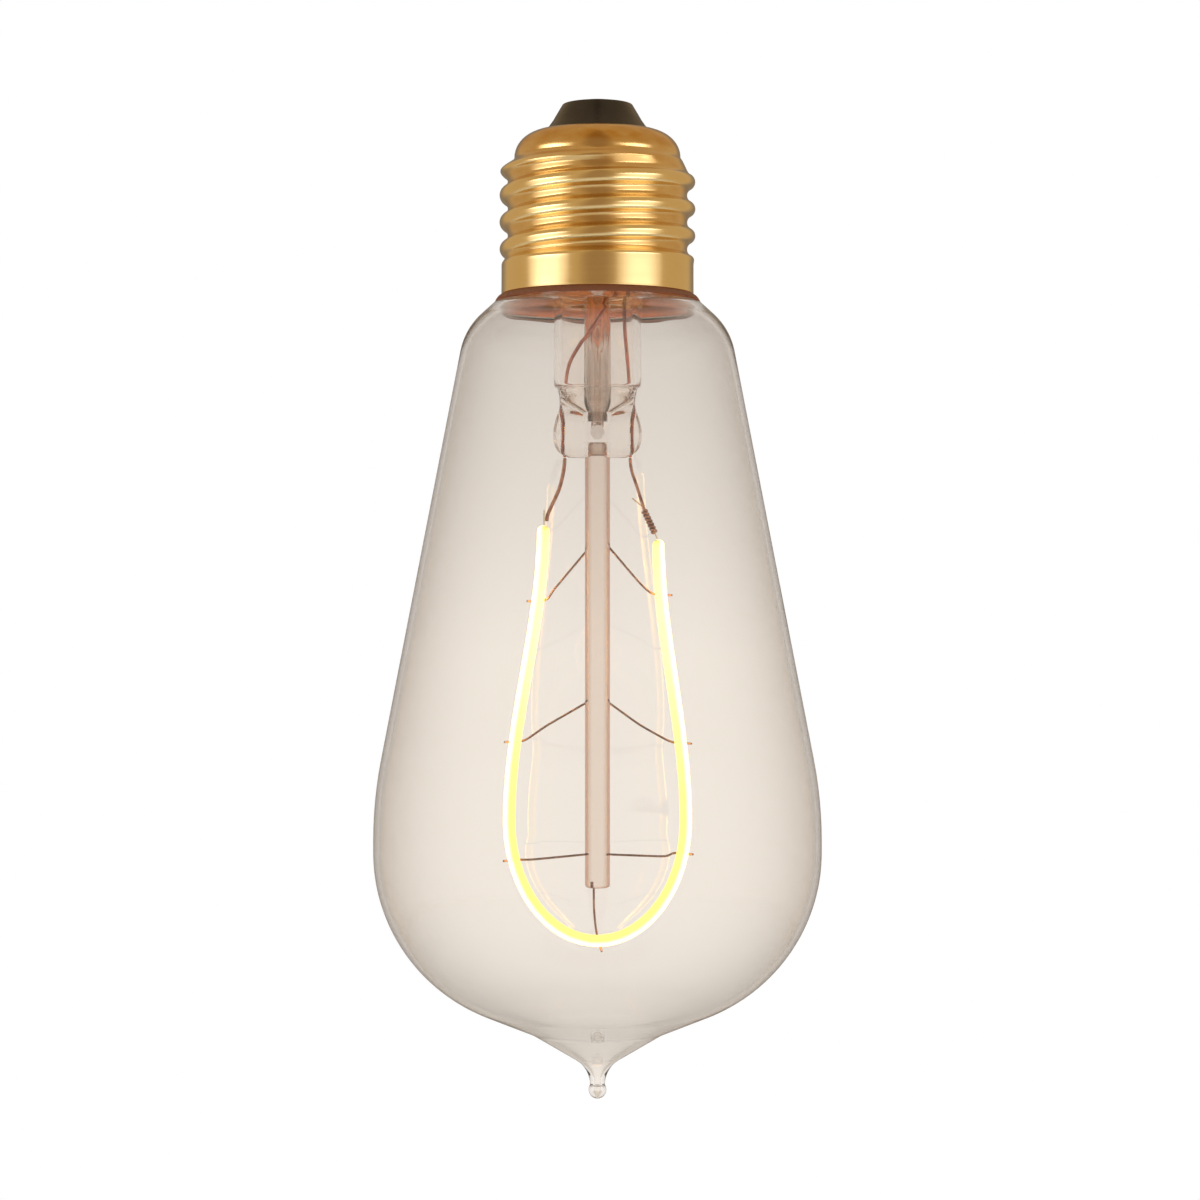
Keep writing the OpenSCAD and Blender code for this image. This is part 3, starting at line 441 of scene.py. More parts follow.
# cuts the corners of a route of [x, y, drop] again and again, until it is a smooth curve
def smoothRoute(route, rounds=4, cut=0.6, share=0.3):
    route = [np.array(p, float) for p in route]
    for n in range(rounds):
        reach = cut if n < rounds / 2 else inf
        softer = [route[0]]
        for i in range(1, len(route) - 1):
            for other in (route[i - 1], route[i + 1]):
                gap = norm(other - route[i])
                softer.append(route[i] + (other - route[i]) * min(share, reach / gap))
        route = softer + [route[-1]]
    return route


# Rings of a round wire along a route, with domed ends. The first side of a ring faces t x Y,
# which for the filament is the inner side of its hairpin.
domeShares = (0.45, 0.8, 0.96)
wobblesPerMm = 1.3


def wireRings(route, diameter, sides=16, wobble=0, domed=0.7):
    route = [Vector((x, y, -drop)) for x, y, drop in route]
    last = len(route) - 1
    tangents = [(route[min(i + 1, last)] - route[max(i - 1, 0)]).normalized() for i in range(last + 1)]
    rises = [domed * diameter / 2 * (1 - sqrt(1 - k * k)) for k in domeShares]
    stations = [(route[0] + tangents[0] * rise, tangents[0], k) for k, rise in zip(domeShares, rises)]
    stations += [(p, t, 1) for p, t in zip(route[1:-1], tangents[1:-1])]
    stations += [(route[-1] - tangents[-1] * rise, tangents[-1], k)
                 for k, rise in zip(reversed(domeShares), reversed(rises))]
    side = tangents[0].cross(Vector((0, 1, 0)))
    rings = []
    for centre, t, k in stations:
        side = (side - t * side.dot(t)).normalized()
        up = t.cross(side)
        r = diameter / 2 * k * (1 + wobble * noise.noise(centre * wobblesPerMm))
        rings.append([tuple(centre + (side * cos(a) + up * sin(a)) * r) for a in turns(sides)])
    return rings


# screw cap: a rolled thread between a dome and a plain collar
cap = {
    "threadD": 26.4, "pitch": 3.63, "depth": 1.1, "crestDrop": 10.9, "wall": 0.3,
    "barrelD": 22.4, "domeR": 4, "domeH": 3.5, "lipDrop": 3.6, "collarTop": 22.1, "collarLen": 4,
    "collarD": 25.9, "startLen": 2, "endLen": 1.5, "dent": 0.035, "dentSize": 5,
    "sides": 256, "rowStep": 0.11, "domeStep": 5,
    "collarRows": (0.12, 0.28, 0.48, 0.68, 0.83, 0.925, 0.9625),  # shares of the collar
    "rimTurns": (0.5, 1.1, 1.57, 2.04, 2.64),  # angles round the rim's edge
}
cap["domeEnd"] = cap["lipDrop"] + cap["domeR"]
cap["rimDrop"] = cap["collarTop"] + cap["collarLen"]
cap["coreR"] = cap["barrelD"] / 2 - cap["domeR"]


# height of the thread above its root, so many turns from a crest
def ridge(turn):
    arc = ((cap["pitch"] / 4) ** 2 + (cap["depth"] / 2) ** 2) / cap["depth"]
    x = abs(turn - round(turn)) * cap["pitch"]
    if x < cap["pitch"] / 4:
        return cap["depth"] - arc + sqrt(arc ** 2 - x ** 2)
    return arc - sqrt(arc ** 2 - (cap["pitch"] / 2 - x) ** 2)


def shellR(angle, drop):
    c = cap
    turn = (drop - c["crestDrop"]) / c["pitch"] + angle / (2 * pi)
    threaded = c["threadD"] / 2 - c["depth"] + ridge(turn)
    rise = ease((drop - c["domeEnd"]) / c["startLen"])
    fall = ease((drop - c["collarTop"] + c["endLen"]) / c["endLen"])
    return mix(mix(c["barrelD"] / 2, threaded, rise), c["collarD"] / 2, fall)


# one skin of the shell as rows of [radius, z], from the dome's mouth down to the collar's rim
def shellSkin(inward):
    c = cap
    rows = []
    for slope in range(90, -1, -c["domeStep"]):
        a = radians(slope)
        r = c["coreR"] + (c["domeR"] - inward) * cos(a)
        rows.append([(r, (c["domeH"] - inward) * sin(a) - c["domeEnd"])] * c["sides"])
    count = ceil((c["collarTop"] - c["domeEnd"]) / c["rowStep"])
    for i in range(1, count + 1):
        drop = mix(c["domeEnd"], c["collarTop"], i / count)
        rows.append([(shellR(-a, drop) - inward, -drop) for a in turns(c["sides"])])
    for share in c["collarRows"]:
        rows.append([(c["collarD"] / 2 - inward, -c["collarTop"] - c["collarLen"] * share)] * c["sides"])
    return rows


def buildCap():
    c = cap
    lip = c["wall"] / 2
    middleR = c["collarD"] / 2 - lip
    rolled = [[(middleR + lip * cos(t), lip - lip * sin(t) - c["rimDrop"])] * c["sides"]
              for t in c["rimTurns"]]
    rings = []
    for row in shellSkin(0) + rolled + shellSkin(c["wall"])[::-1]:
        ring = []
        for a, (r, z) in zip(turns(c["sides"]), row):
            place = Vector((r * cos(a), -r * sin(a), z))
            # handling has left shallow dents, but not in the dome's mouth or at the rim
            if r > c["coreR"] + 2 * c["wall"] and z > 2 * lip - c["rimDrop"]:
                push = abs(c["dent"] * noise.noise(place / c["dentSize"]))
                place.xy *= (r - push) / r
            ring.append(tuple(place))
        rings.append(ring)
    addSkin("screwShell", rings, "brass", ["screw_shell"], closed=True)


buildCap()
print("cap built")

# insulator and the contact in its top
top = {
    "rimR": 4.7, "rimDrop": 0.45, "rimRound": 0.22, "landR": 5.15, "landDrop": 1.2, "landRound": 0.6,
    "hollow": 0.12, "slopeRows": (0.5, 0.7, 0.9), "flangeTurns": (90, 54, -7), "clear": 0.12, "wall": 1.3,
    "bevelW": 0.12, "bevelH": 0.02, "cornerStep": 8,
    "contactR": 4, "edgeRound": 0.12, "faceR": 2.2, "faceRound": 0.5, "facet": 0.6, "seatDrop": 0.9,
    "floor": 0.4, "rivetR": 1.15, "rivetEnd": 4.1, "wireHole": 0.3, "fit": 0.05, "sides": 128,
}


def buildInsulator():
    t, c = top, cap
    arc = c["domeR"] - c["wall"] - t["clear"]
    arcH = c["domeH"] - c["wall"] - t["clear"]
    flange = [(c["coreR"] + arc * cos(a), c["domeEnd"] - arcH * sin(a))
              for a in np.radians(range(*t["flangeTurns"]))]
    skirtR, skirtDrop = flange[-1][0], flange[-1][1] + t["wall"]
    footR, footDrop = c["coreR"] - t["clear"], c["domeEnd"] - c["domeH"]
    slope = [(mix(t["landR"], footR, k) - t["hollow"] * sin(pi * k),
              mix(t["landDrop"], footDrop, k)) for k in t["slopeRows"]]
    crown = roundedPath([
        (t["contactR"] + t["fit"], t["rimDrop"] + t["bevelH"], 0),
        (t["contactR"] + t["bevelW"], t["rimDrop"], 0),
        (t["rimR"], t["rimDrop"], t["rimRound"]), (t["landR"], t["landDrop"], t["landRound"]),
        (*slope[0], 0)], t["cornerStep"])
    seat = t["seatDrop"] + t["fit"]
    inside = [
        (skirtR, skirtDrop), (skirtR - t["wall"], skirtDrop), (t["rivetR"] + t["wall"], seat + t["wall"]),
        (t["rivetR"] + t["fit"], seat + t["wall"]), (t["rivetR"] + t["fit"], seat),
        (t["contactR"] + t["fit"], seat)]
    profile = crown + slope[1:] + [(footR, footDrop)] + flange + inside
    addSkin("insulatorCone", latheRings(profile, t["sides"]), "insulator", ["insulator"], closed=True)


def buildContact():
    t = top
    crown = roundedPath([
        (0, 0, 0), (t["faceR"], 0, t["faceRound"]),
        (t["contactR"] - t["rimDrop"], t["rimDrop"] * t["facet"], t["faceRound"]),
        (t["contactR"], t["rimDrop"], t["edgeRound"]), (t["contactR"], t["seatDrop"], 0)],
        t["cornerStep"])
    floorDrop = t["seatDrop"] + t["floor"]
    rivet = [(t["rivetR"], t["seatDrop"]), (t["rivetR"], t["rivetEnd"]), (t["wireHole"], t["rivetEnd"]),
             (t["wireHole"], floorDrop), (0, floorDrop)]
    addSkin("centreContact", latheRings(crown + rivet, t["sides"]), "contact", ["centre_contact"])


buildInsulator()
buildContact()
print("insulator and contact built")

# blown envelope, thickest just below its neck
bulb = {
    "neckR": 12.2, "neckTop": 23.3, "rimH": 0.8, "seatDrop": 26.515, "seatR": 1,
    "wall": 0.7, "shoulderWall": 0.9, "thinning": 9,
    "shoulderR": 17.9, "shoulderH": 4.3, "shoulderRound": 9, "sideR": 30.15, "sideH": 63.2, "sideRound": 57,
    "bellyH": 22.7, "bellyRound": 23.5, "tipR": 9, "crownH": 8.8, "tipEase": 8,
    "pipR": 1, "tipH": 4.8, "tipRound": 4, "beadR": 1.2, "pipLen": 4.1, "hollowR": 0.4, "hollowClose": 0.6,
    "rowStep": 2.5, "roundStep": 2, "beadStep": 0.17, "sides": 192,
}


def wallAt(drop):
    b = bulb
    top = b["neckTop"] + b["rimH"]
    rise = ease((drop - top) / (b["seatDrop"] - top))
    fall = ease((drop - b["seatDrop"]) / b["thinning"])
    return mix(b["wall"], b["shoulderWall"], rise * (1 - fall))


# moves a path inward by the wall and drops the loops that tight corners would make
def insetPath(path):
    starts, ends = np.array(path[:-1]), np.array(path[1:])
    spans = ends - starts
    lengths = np.maximum((spans ** 2).sum(1), 1e-12)
    moved = []
    for i, p in enumerate(path):
        t = path[min(i + 1, len(path) - 1)] - path[max(i - 1, 0)]
        t = t / norm(t)
        wall = wallAt(p[1])
        q = p + wall * np.array((-t[1], t[0]))
        along = np.clip(((q - starts) * spans).sum(1) / lengths, 0, 1)
        nearest = norm(starts + spans * along[:, None] - q, axis=1).min()
        if nearest > wall * 0.97:
            moved.append(q)
    return moved


def buildEnvelope():
    b = bulb
    shoulderDrop = b["seatDrop"] + b["shoulderH"]
    sideDrop = shoulderDrop + b["sideH"]
    bellyDrop = sideDrop + b["bellyH"]
    tipDrop = bellyDrop + b["crownH"]
    pipDrop = tipDrop + b["tipH"]
    end = pipDrop + b["pipLen"]
    beadDrop = end - b["beadR"]
    start = asin(b["pipR"] / b["beadR"])
    path = roundedPath([
        (b["neckR"], b["neckTop"], 0), (b["neckR"], b["neckTop"] + b["rimH"], 0),
        (b["neckR"], b["seatDrop"], b["seatR"]), (b["neckR"] + b["seatR"], b["seatDrop"], 0),
        (b["shoulderR"], shoulderDrop, b["shoulderRound"]), (b["sideR"], sideDrop, b["sideRound"]),
        (b["sideR"], bellyDrop, b["bellyRound"]), (b["tipR"], tipDrop, b["tipEase"]),
        (b["pipR"], pipDrop, b["tipRound"]), (b["pipR"], beadDrop - b["beadR"] * cos(start), 0)],
        b["roundStep"])
    outer = []
    for p, q in zip(path, path[1:]):
        steps = max(1, ceil(norm(q - p) / b["rowStep"]))
        outer += [mix(p, q, k / steps) for k in range(steps)]
    outer.append(path[-1])
    outer += [np.array((b["beadR"] * sin(a), beadDrop - b["beadR"] * cos(a)))
              for a in np.arange(start + b["beadStep"], pi - 0.01, b["beadStep"])]
    inner = [p for p in insetPath(outer) if p[0] > b["hollowR"] and p[1] < pipDrop + b["tipRound"]]
    profile = [(0, end)] + outer[::-1] + inner + [(0, inner[-1][1] + b["hollowClose"])]
    addSkin("glassEnvelope", latheRings(profile, b["sides"]), "envelope_glass", ["glass_envelope"])


# Cement: it fills the collar, passes under the rim and ends in an uneven bead on the glass.
cement = {"innerR": 12.25, "outerR": 12.53, "rimGap": 0.05, "reach": (0.3, 1.15), "bulge": (0.2, 0.75),
          "browDrop": 0.1, "lumps": 2.2, "ripple": 0.12, "ripples": 9, "rows": 9, "sides": 192}


def buildCement():
    k, b = cement, bulb
    seat = np.array((b["neckR"] + b["seatR"], b["seatDrop"]))
    slope = np.array((b["shoulderR"], b["seatDrop"] + b["shoulderH"])) - seat
    slope /= norm(slope)
    offGlass = k["rimGap"] * np.array((slope[1], -slope[0]))
    rim = np.array((cap["collarD"] / 2, cap["rimDrop"] + k["rimGap"]))
    fillet = [(seat[0] - (b["seatR"] - k["rimGap"]) * cos(a),
               seat[1] - b["seatR"] + (b["seatR"] - k["rimGap"]) * sin(a))
              for a in np.radians(range(90, -1, -10))]
    columns = []
    for a in turns(k["sides"]):
        lump = 0.5 + 0.5 * noise.noise(Vector((cos(a), sin(a), 0)) * k["lumps"])
        lump += k["ripple"] * noise.noise(Vector((cos(a), sin(a), 3)) * k["ripples"])
        toe = seat + offGlass + slope * mix(*k["reach"], lump)
        brow = rim + (mix(*k["bulge"], lump), k["browDrop"])
        bead = [rim * (1 - t) ** 2 + brow * 2 * t * (1 - t) + toe * t ** 2
                for t in np.linspace(0, 1, k["rows"])]
        profile = [(k["innerR"], b["neckTop"]), (k["outerR"], b["neckTop"]), (k["outerR"], rim[1])]
        profile += bead + [seat + offGlass] + fillet
        columns.append([(r * cos(a), -r * sin(a), -drop) for r, drop in profile])
    addSkin("cementBead", list(zip(*columns)), "cement", ["cement_ring"], closed=True)


buildEnvelope()
buildCement()
print("envelope and cement built")

# stem: a flare with its pinched press, the exhaust tube and the rod
stem = {
    "flareR": 11.45, "tubeR": 5.9, "wall": 1, "trumpetH": 4, "tubeH": 10.2, "waistH": 3.9, "waistIn": 0.75,
    "pressH": 6.7, "pressW": 11.9, "pressT": 4.8, "exhaustR": 1.8, "bore": 0.95, "rodR": 1.7, "rodLen": 57.9,
    "rodGrip": 2, "sealX": 4.4, "sealR": 0.25, "tubeRound": 3, "sealedTo": 1.8, "nipR": 0.6,
    "rodRounds": (0.3, 0.5), "fit": 0.05, "sides": 96, "rows": 5,
}
stem["tubeEnd"] = bulb["neckTop"] + stem["trumpetH"] + stem["tubeH"]
stem["waistDrop"] = stem["tubeEnd"] + stem["waistH"]
stem["pressEnd"] = stem["waistDrop"] + stem["pressH"]
stem["exhaustEnd"] = stem["waistDrop"] + stem["pressH"] * 0.28
stem["holeDrop"] = stem["waistDrop"] + stem["pressH"] * 0.5
stem["rodEnd"] = stem["pressEnd"] + stem["rodLen"]


# sections as [drop, half width, half thickness, squareness], inside up to the rim and outside down
def stemSections():
    s, neck, rimH = stem, bulb["neckTop"], bulb["rimH"]
    quarter = np.radians(range(0, 91, 10))
    trumpet = [(neck + rimH + (s["trumpetH"] - rimH) * (1 - cos(a)),
                mix(s["flareR"], s["tubeR"], sin(a))) for a in quarter]
    waist, w, p, halfT = s["waistDrop"], s["tubeR"] - s["waistIn"], s["pressW"] / 2, s["pressT"] / 2
    outside = [(neck, s["flareR"], s["flareR"], 2)] + [(d, r, r, 2) for d, r in trumpet] + [
        (s["tubeEnd"], s["tubeR"], s["tubeR"], 2),
        (s["tubeEnd"] + s["waistH"] * 0.3, mix(s["tubeR"], w, 0.6), s["tubeR"] - 0.3, 2),
        (s["tubeEnd"] + s["waistH"] * 0.65, w, mix(s["tubeR"], halfT, 0.4), 2.1),
        (waist, w, mix(s["tubeR"], halfT, 0.75), 2.3),
        (waist + s["pressH"] * 0.22, mix(w, p, 0.6), halfT + 0.1, 2.5),
        (waist + s["pressH"] * 0.45, p, halfT, 2.6),
        (waist + s["pressH"] * 0.65, p, halfT, 2.6),
        (waist + s["pressH"] * 0.82, p - 0.4, halfT, 2.5),
        (waist + s["pressH"] * 0.93, p - 1.1, halfT - 0.4, 2.4),
        (s["pressEnd"], p - 2.1, halfT - 1.1, 2.3)]
    innerTube = s["tubeR"] - s["wall"]
    inside = [
        (waist + 0.4, s["exhaustR"] + 0.2, s["exhaustR"] + 0.1, 2),
        (waist - 0.2, s["exhaustR"] + 0.9, s["exhaustR"] + 0.2, 2),
        (waist - 1.2, w - s["wall"] - 0.3, s["exhaustR"] + 0.7, 2),
        (s["tubeEnd"] + s["waistH"] * 0.3, innerTube - 0.2, innerTube - 0.4, 2),
        (s["tubeEnd"], innerTube, innerTube, 2)]
    inside += [(d - s["wall"] * 0.3, r - s["wall"], r - s["wall"], 2) for d, r in trumpet[::-1]]
    inside += [(neck, s["flareR"] - s["wall"], s["flareR"] - s["wall"], 2)]
    return inside, outside


# passes a smooth curve through a list of sections
def finerSections(sections, steps):
    rows = np.array(sections, float)
    fine = []
    for i in range(len(rows) - 1):
        before, a, b, after = rows[max(i - 1, 0)], rows[i], rows[i + 1], rows[min(i + 2, len(rows) - 1)]
        for t in np.arange(steps) / steps:
            fine.append(0.5 * (2 * a + (b - before) * t + (2 * before - 5 * a + 4 * b - after) * t ** 2
                               + (3 * a - before - 3 * b + after) * t ** 3))
    return fine + [rows[-1]]


def stemRing(section, sides):
    drop, w, t, n = section
    ring = []
    for a in turns(sides):
        c, s = cos(a), -sin(a)
        x, y = w * copysign(abs(c) ** (2 / n), c), t * copysign(abs(s) ** (2 / n), s)
        ring.append((x, y, -drop))
    return ring


# drills a round hole from one [x, y, drop] to another
def drill(piece, radius, start, end, sides=32):
    start, end = (Vector((x, y, -drop)) * mm for x, y, drop in (start, end))
    cutter = bmesh.new()
    bmesh.ops.create_cone(cutter, cap_ends=True, segments=sides, radius1=radius * mm, radius2=radius * mm,
                          depth=(end - start).length)
    turn = (end - start).to_track_quat("Z", "Y").to_matrix().to_4x4()
    bmesh.ops.transform(cutter, matrix=turn, verts=cutter.verts)
    bmesh.ops.translate(cutter, vec=(start + end) / 2, verts=cutter.verts)
    tool = bpy.data.meshes.new("drill")
    cutter.to_mesh(tool)
    cutter.free()
    holder = bpy.data.objects.new("drill", tool)
    scene.collection.objects.link(holder)
    cut = piece.modifiers.new("cut", "BOOLEAN")
    cut.object = holder
    cut.solver = "EXACT"
    bpy.context.view_layer.update()
    drilled = bpy.data.meshes.new_from_object(piece.evaluated_get(bpy.context.evaluated_depsgraph_get()))
    piece.modifiers.clear()
    piece.data = drilled
    bpy.data.objects.remove(holder)
    bpy.data.meshes.remove(tool)


def buildStem():
    s, neck = stem, bulb["neckTop"]
    inside, outside = stemSections()
    sections = finerSections(inside, s["rows"]) + finerSections(outside, s["rows"])
    rings = [stemRing(section, s["sides"]) for section in sections]
    flare = addSkin("glassFlare", rings, "stem_glass", ["stem_flare"])
    past = 1
    drill(flare, s["exhaustR"] + s["fit"], (0, 0, s["waistDrop"] - past), (0, 0, s["exhaustEnd"]))
    drill(flare, s["bore"], (0, 0, s["exhaustEnd"] - past), (0, 0, s["holeDrop"]))
    drill(flare, s["bore"], (0, 0, s["holeDrop"]), (0, -s["pressT"], s["holeDrop"]))
    drill(flare, s["rodR"] + s["fit"], (0, 0, s["pressEnd"] - s["rodGrip"]), (0, 0, s["pressEnd"] + past))
    for x in (-s["sealX"], s["sealX"]):
        drill(flare, s["sealR"] + s["fit"], (x, 0, s["pressEnd"] + past),
              (x, 0, s["pressEnd"] + past - s["pressH"] - s["waistH"]), 12)

    tubeTop, tubeFoot = neck + bulb["rimH"], s["exhaustEnd"] - s["fit"]
    shoulder, closed = neck + s["tubeRound"], neck + s["sealedTo"]
    profile = roundedPath([(0, tubeTop, 0), (s["exhaustR"] * s["nipR"], tubeTop + 0.1, 0.5),
                           (s["exhaustR"], shoulder, s["tubeRound"]), (s["exhaustR"], tubeFoot, 0)], 10)
    profile += [(s["bore"], tubeFoot), (s["bore"], shoulder), (s["bore"] * s["nipR"], closed + 0.4),
                (0, closed)]
    addSkin("exhaustTube", latheRings(profile, s["sides"]), "stem_glass", ["exhaust_tube"])

    rodTop = s["pressEnd"] - s["rodGrip"] + s["fit"]
    topRound, endRound = s["rodRounds"]
    profile = roundedPath([(0, rodTop, 0), (s["rodR"], rodTop, topRound),
                           (s["rodR"], s["rodEnd"], endRound), (0, s["rodEnd"], 0)], 12)
    addSkin("supportRod", latheRings(profile, s["sides"]), "stem_glass", ["support_rod"],
            material="rod_glass")


buildStem()
print("stem built")

# filament: a hairpin whose limbs spread, joined by half an ellipse
filament = {
    "leftTop": 57.2, "rightTop": 59.1, "leftX": 7.3, "rightX": 8.2, "halfWidth": 11.9, "bendH": 16.3,
    "hang": 7.2, "coatD": 1.6, "domed": 0.9, "wobble": 0.05, "stripMiddle": -0.1, "stripW": 1,
    "limbRows": 48, "bendRows": 96, "sides": 32,
}
filament["foot"] = stem["rodEnd"] + filament["hang"]
filament["bendDrop"] = filament["foot"] - filament["bendH"]


def limbX(side, drop):
    f = filament
    start, x = (f["leftTop"], f["leftX"]) if side < 0 else (f["rightTop"], f["rightX"])
    if drop < f["bendDrop"]:
        return mix(x, f["halfWidth"], ease((drop - start) / (f["bendDrop"] - start)))
    return f["halfWidth"] * sqrt(max(0, 1 - ((drop - f["bendDrop"]) / f["bendH"]) ** 2))


def buildFilament():
    f = filament
    limbs = []
    for side, start in ((-1, f["leftTop"]), (1, f["rightTop"])):
        drops = [mix(start, f["bendDrop"], i / f["limbRows"]) for i in range(f["limbRows"])]
        limbs.append([(side * limbX(side, d), 0, d) for d in drops])
    bend = [(-f["halfWidth"] * cos(a), 0, f["bendDrop"] + f["bendH"] * sin(a))
            for a in np.linspace(0, pi, f["bendRows"] + 1)]
    rings = wireRings(limbs[0] + bend + limbs[1][::-1], f["coatD"], f["sides"], f["wobble"], f["domed"])
    coat = addSkin("phosphorCoating", rings, "coating", ["filament_coating"])
    # which side of the section a point is on: -1 by the strip, 1 over the chips
    chipSide = coat.data.attributes.new("chipSide", "FLOAT", "POINT")
    chipSide.data.foreach_set("value", [-cos(a) for a in turns(f["sides"])] * len(rings))


buildFilament()
print("filament built")

# wires
wires = {
    "leadD": 0.5, "hookD": 0.3, "hookBite": 0.9, "hookTip": 1.5, "boardDrop": 23.25, "boardTop": 22.25,
    "pastBoard": 0.8, "leadOut": 1.6, "weld": 0.8, "clear": 0.25, "tabT": 0.15, "tabLean": 25, "tabLen": 4.8,
    "wrapD": 0.42, "wrapTurns": 7, "wrapSpan": (0.1, 0.82), "wrapStep": pi / 8, "wrapSides": 12,
    "sealUp": 0.6, "straightDown": 0.8, "splay": 0.1, "bowIn": 0.86, "hookDip": 0.1, "hookBow": 1.3,
    "fit": 0.05,
}
leftPad, rightPad = (2.6, -2.2), (4.2, 0)  # holes in the board
# bends of the left outer lead: shares of the way up, across to its hole and out past the tube
leftBends = [(0.14, 0.07, 0.17), (0.32, 0.29, 0.7), (0.56, 0.6, 1), (0.79, 0.86, 1)]
hooks = {  # side, then root, knee's distance from the axis, knee and crossing; heights from the rod's end
    "upper_left": (-1, 45.1, 6.1, 39.9, 38.7), "upper_right": (1, 45.7, 5.7, 41, 39.5),
    "middle_left": (-1, 24.8, 7.1, 21.7, 19.7), "middle_right": (1, 24.8, 5.7, 21.9, 19.5),
    "lower_left": (-1, 4.5, 8.9, 3.8, 3.7), "lower_right": (1, 4.5, 9.4, 4.2, 4.6),
}


# a bent wire, named after its node
def addWire(node, route, diameter, slot):
    first, *others = node.split("_")
    name = first + "".join(word.title() for word in others)
    addSkin(name, wireRings(smoothRoute(route), diameter), slot, [node])


def upTube(share):
    return mix(stem["tubeEnd"], wires["boardDrop"], share)


def buildOuterLeads():
    s, w = stem, wires
    sealTop, straight = s["waistDrop"] - w["sealUp"], s["tubeEnd"] + w["straightDown"]
    end = w["boardTop"] - w["pastBoard"]
    clear = s["exhaustR"] + w["leadD"] / 2 + w["clear"]
    left = [(-s["sealX"], 0, sealTop), (-s["sealX"], 0, straight)]
    left += [(mix(-s["sealX"], leftPad[0], across), -clear * out, upTube(up))
             for up, across, out in leftBends]
    left += [(*leftPad, upTube(0.91)), (*leftPad, end)]
    right = [(s["sealX"], 0, sealTop), (s["sealX"], 0, straight), (s["sealX"] * w["bowIn"], 0, upTube(0.42)),
             (rightPad[0] * w["bowIn"], 0, upTube(0.77)), (*rightPad, upTube(0.9)), (*rightPad, end)]
    addWire("outer_lead_left", left, w["leadD"], "outer_lead")
    addWire("outer_lead_right", right, w["leadD"], "outer_lead")
    for side, label in ((-1, "left"), (1, "right")):
        x = side * s["sealX"]
        seal = [(x, 0, sealTop + w["fit"]), (x, 0, mix(sealTop, s["pressEnd"], 0.5)),
                (x, 0, s["pressEnd"] - w["fit"])]
        addWire("seal_wire_" + label, seal, w["leadD"], "seal_wire")


# The left lead runs down to its tab and lies against it. The right one is wound round its own
# leaning tab, from the bend down to the coating.
def buildInnerLeads():
    s, w, f = stem, wires, filament
    press = s["pressEnd"]
    starts = [[(side * s["sealX"], 0, press), (side * (s["sealX"] + w["splay"]), 0, press + w["leadOut"])]
              for side in (-1, 1)]
    x = f["stripMiddle"] + f["leftX"] - w["tabT"] / 2 - w["fit"] - w["leadD"] / 2
    end = f["leftTop"] - w["fit"] - w["leadD"]
    left = starts[0] + [(mix(-s["sealX"], -x, 0.3), 0, mix(press, end, 0.5)), (-x, 0, end - w["weld"]),
                        (-x, 0, end)]
    addWire("inner_lead_left", left, w["leadD"], "inner_lead")

    lean = radians(w["tabLean"])
    foot = np.array((f["rightX"] + f["stripMiddle"], 0, f["rightTop"] - w["fit"]))
    bend = foot - w["tabLen"] * np.array((sin(lean), 0, cos(lean)))
    halfX = w["tabT"] / 2 + w["fit"] + w["wrapD"] / 2
    halfY = f["stripW"] / 2 + w["fit"] + w["wrapD"] / 2
    wrap = []
    for a in np.arange(0, w["wrapTurns"] * 2 * pi, w["wrapStep"]):
        centre = mix(bend, foot, mix(*w["wrapSpan"], a / (w["wrapTurns"] * 2 * pi)))
        wrap.append(tuple(centre + (halfX * cos(lean) * sin(a), -halfY * cos(a), 0)))
    enter = np.array(wrap[0])
    right = starts[1] + [(mix(s["sealX"], bend[0], 0.45), 0, mix(press, bend[2], 0.5)),
                         tuple(enter - (0.45, -0.35, 1.5)), tuple(enter - (0.1, 0, 0.5))]
    route = smoothRoute(right, 3) + wrap
    rings = wireRings(route, w["wrapD"], w["wrapSides"])
    addSkin("innerLeadRight", rings, "inner_lead", ["inner_lead_right"])


def buildHooks():
    s, w, f = stem, wires, filament
    clear = f["coatD"] / 2 + w["hookD"] / 2 + 2 * w["fit"]
    for name, (side, rootUp, kneeX, kneeUp, crossUp) in hooks.items():
        crossing = s["rodEnd"] - crossUp
        x = limbX(side, crossing)
        knee = np.array((side * kneeX, 0, s["rodEnd"] - kneeUp))
        face = np.array((side * s["rodR"], 0, s["rodEnd"] - rootUp))
        root = face - (knee - face) / norm(knee - face) * w["hookBite"]
        route = [
            root, knee, (side * (x - clear * w["hookBow"]), 0, crossing - w["hookDip"]),
            (side * (x - clear / 2), clear, crossing),
            (side * (x + clear / 2), clear, crossing + w["hookDip"]),
            (side * (x + w["hookTip"]), 0, crossing + w["hookDip"])]
        addWire("hook_" + name, route, w["hookD"], "hook_wire")
    # the last hook leaves the rod's end and passes behind the hairpin's foot
    foot = f["foot"]
    route = [(-0.5, 0, s["rodEnd"] - w["hookBite"]), (-0.5, 0, s["rodEnd"] + f["hang"] * 0.4),
             (-0.2, 0, foot - clear * w["hookBow"]), (0, clear, foot - clear / 2),
             (0.2, clear, foot + clear / 2), (0.6, 0, foot + w["hookTip"])]
    addWire("hook_bottom", route, w["hookD"], "hook_wire")


buildOuterLeads()
buildInnerLeads()
buildHooks()
print("wires built")

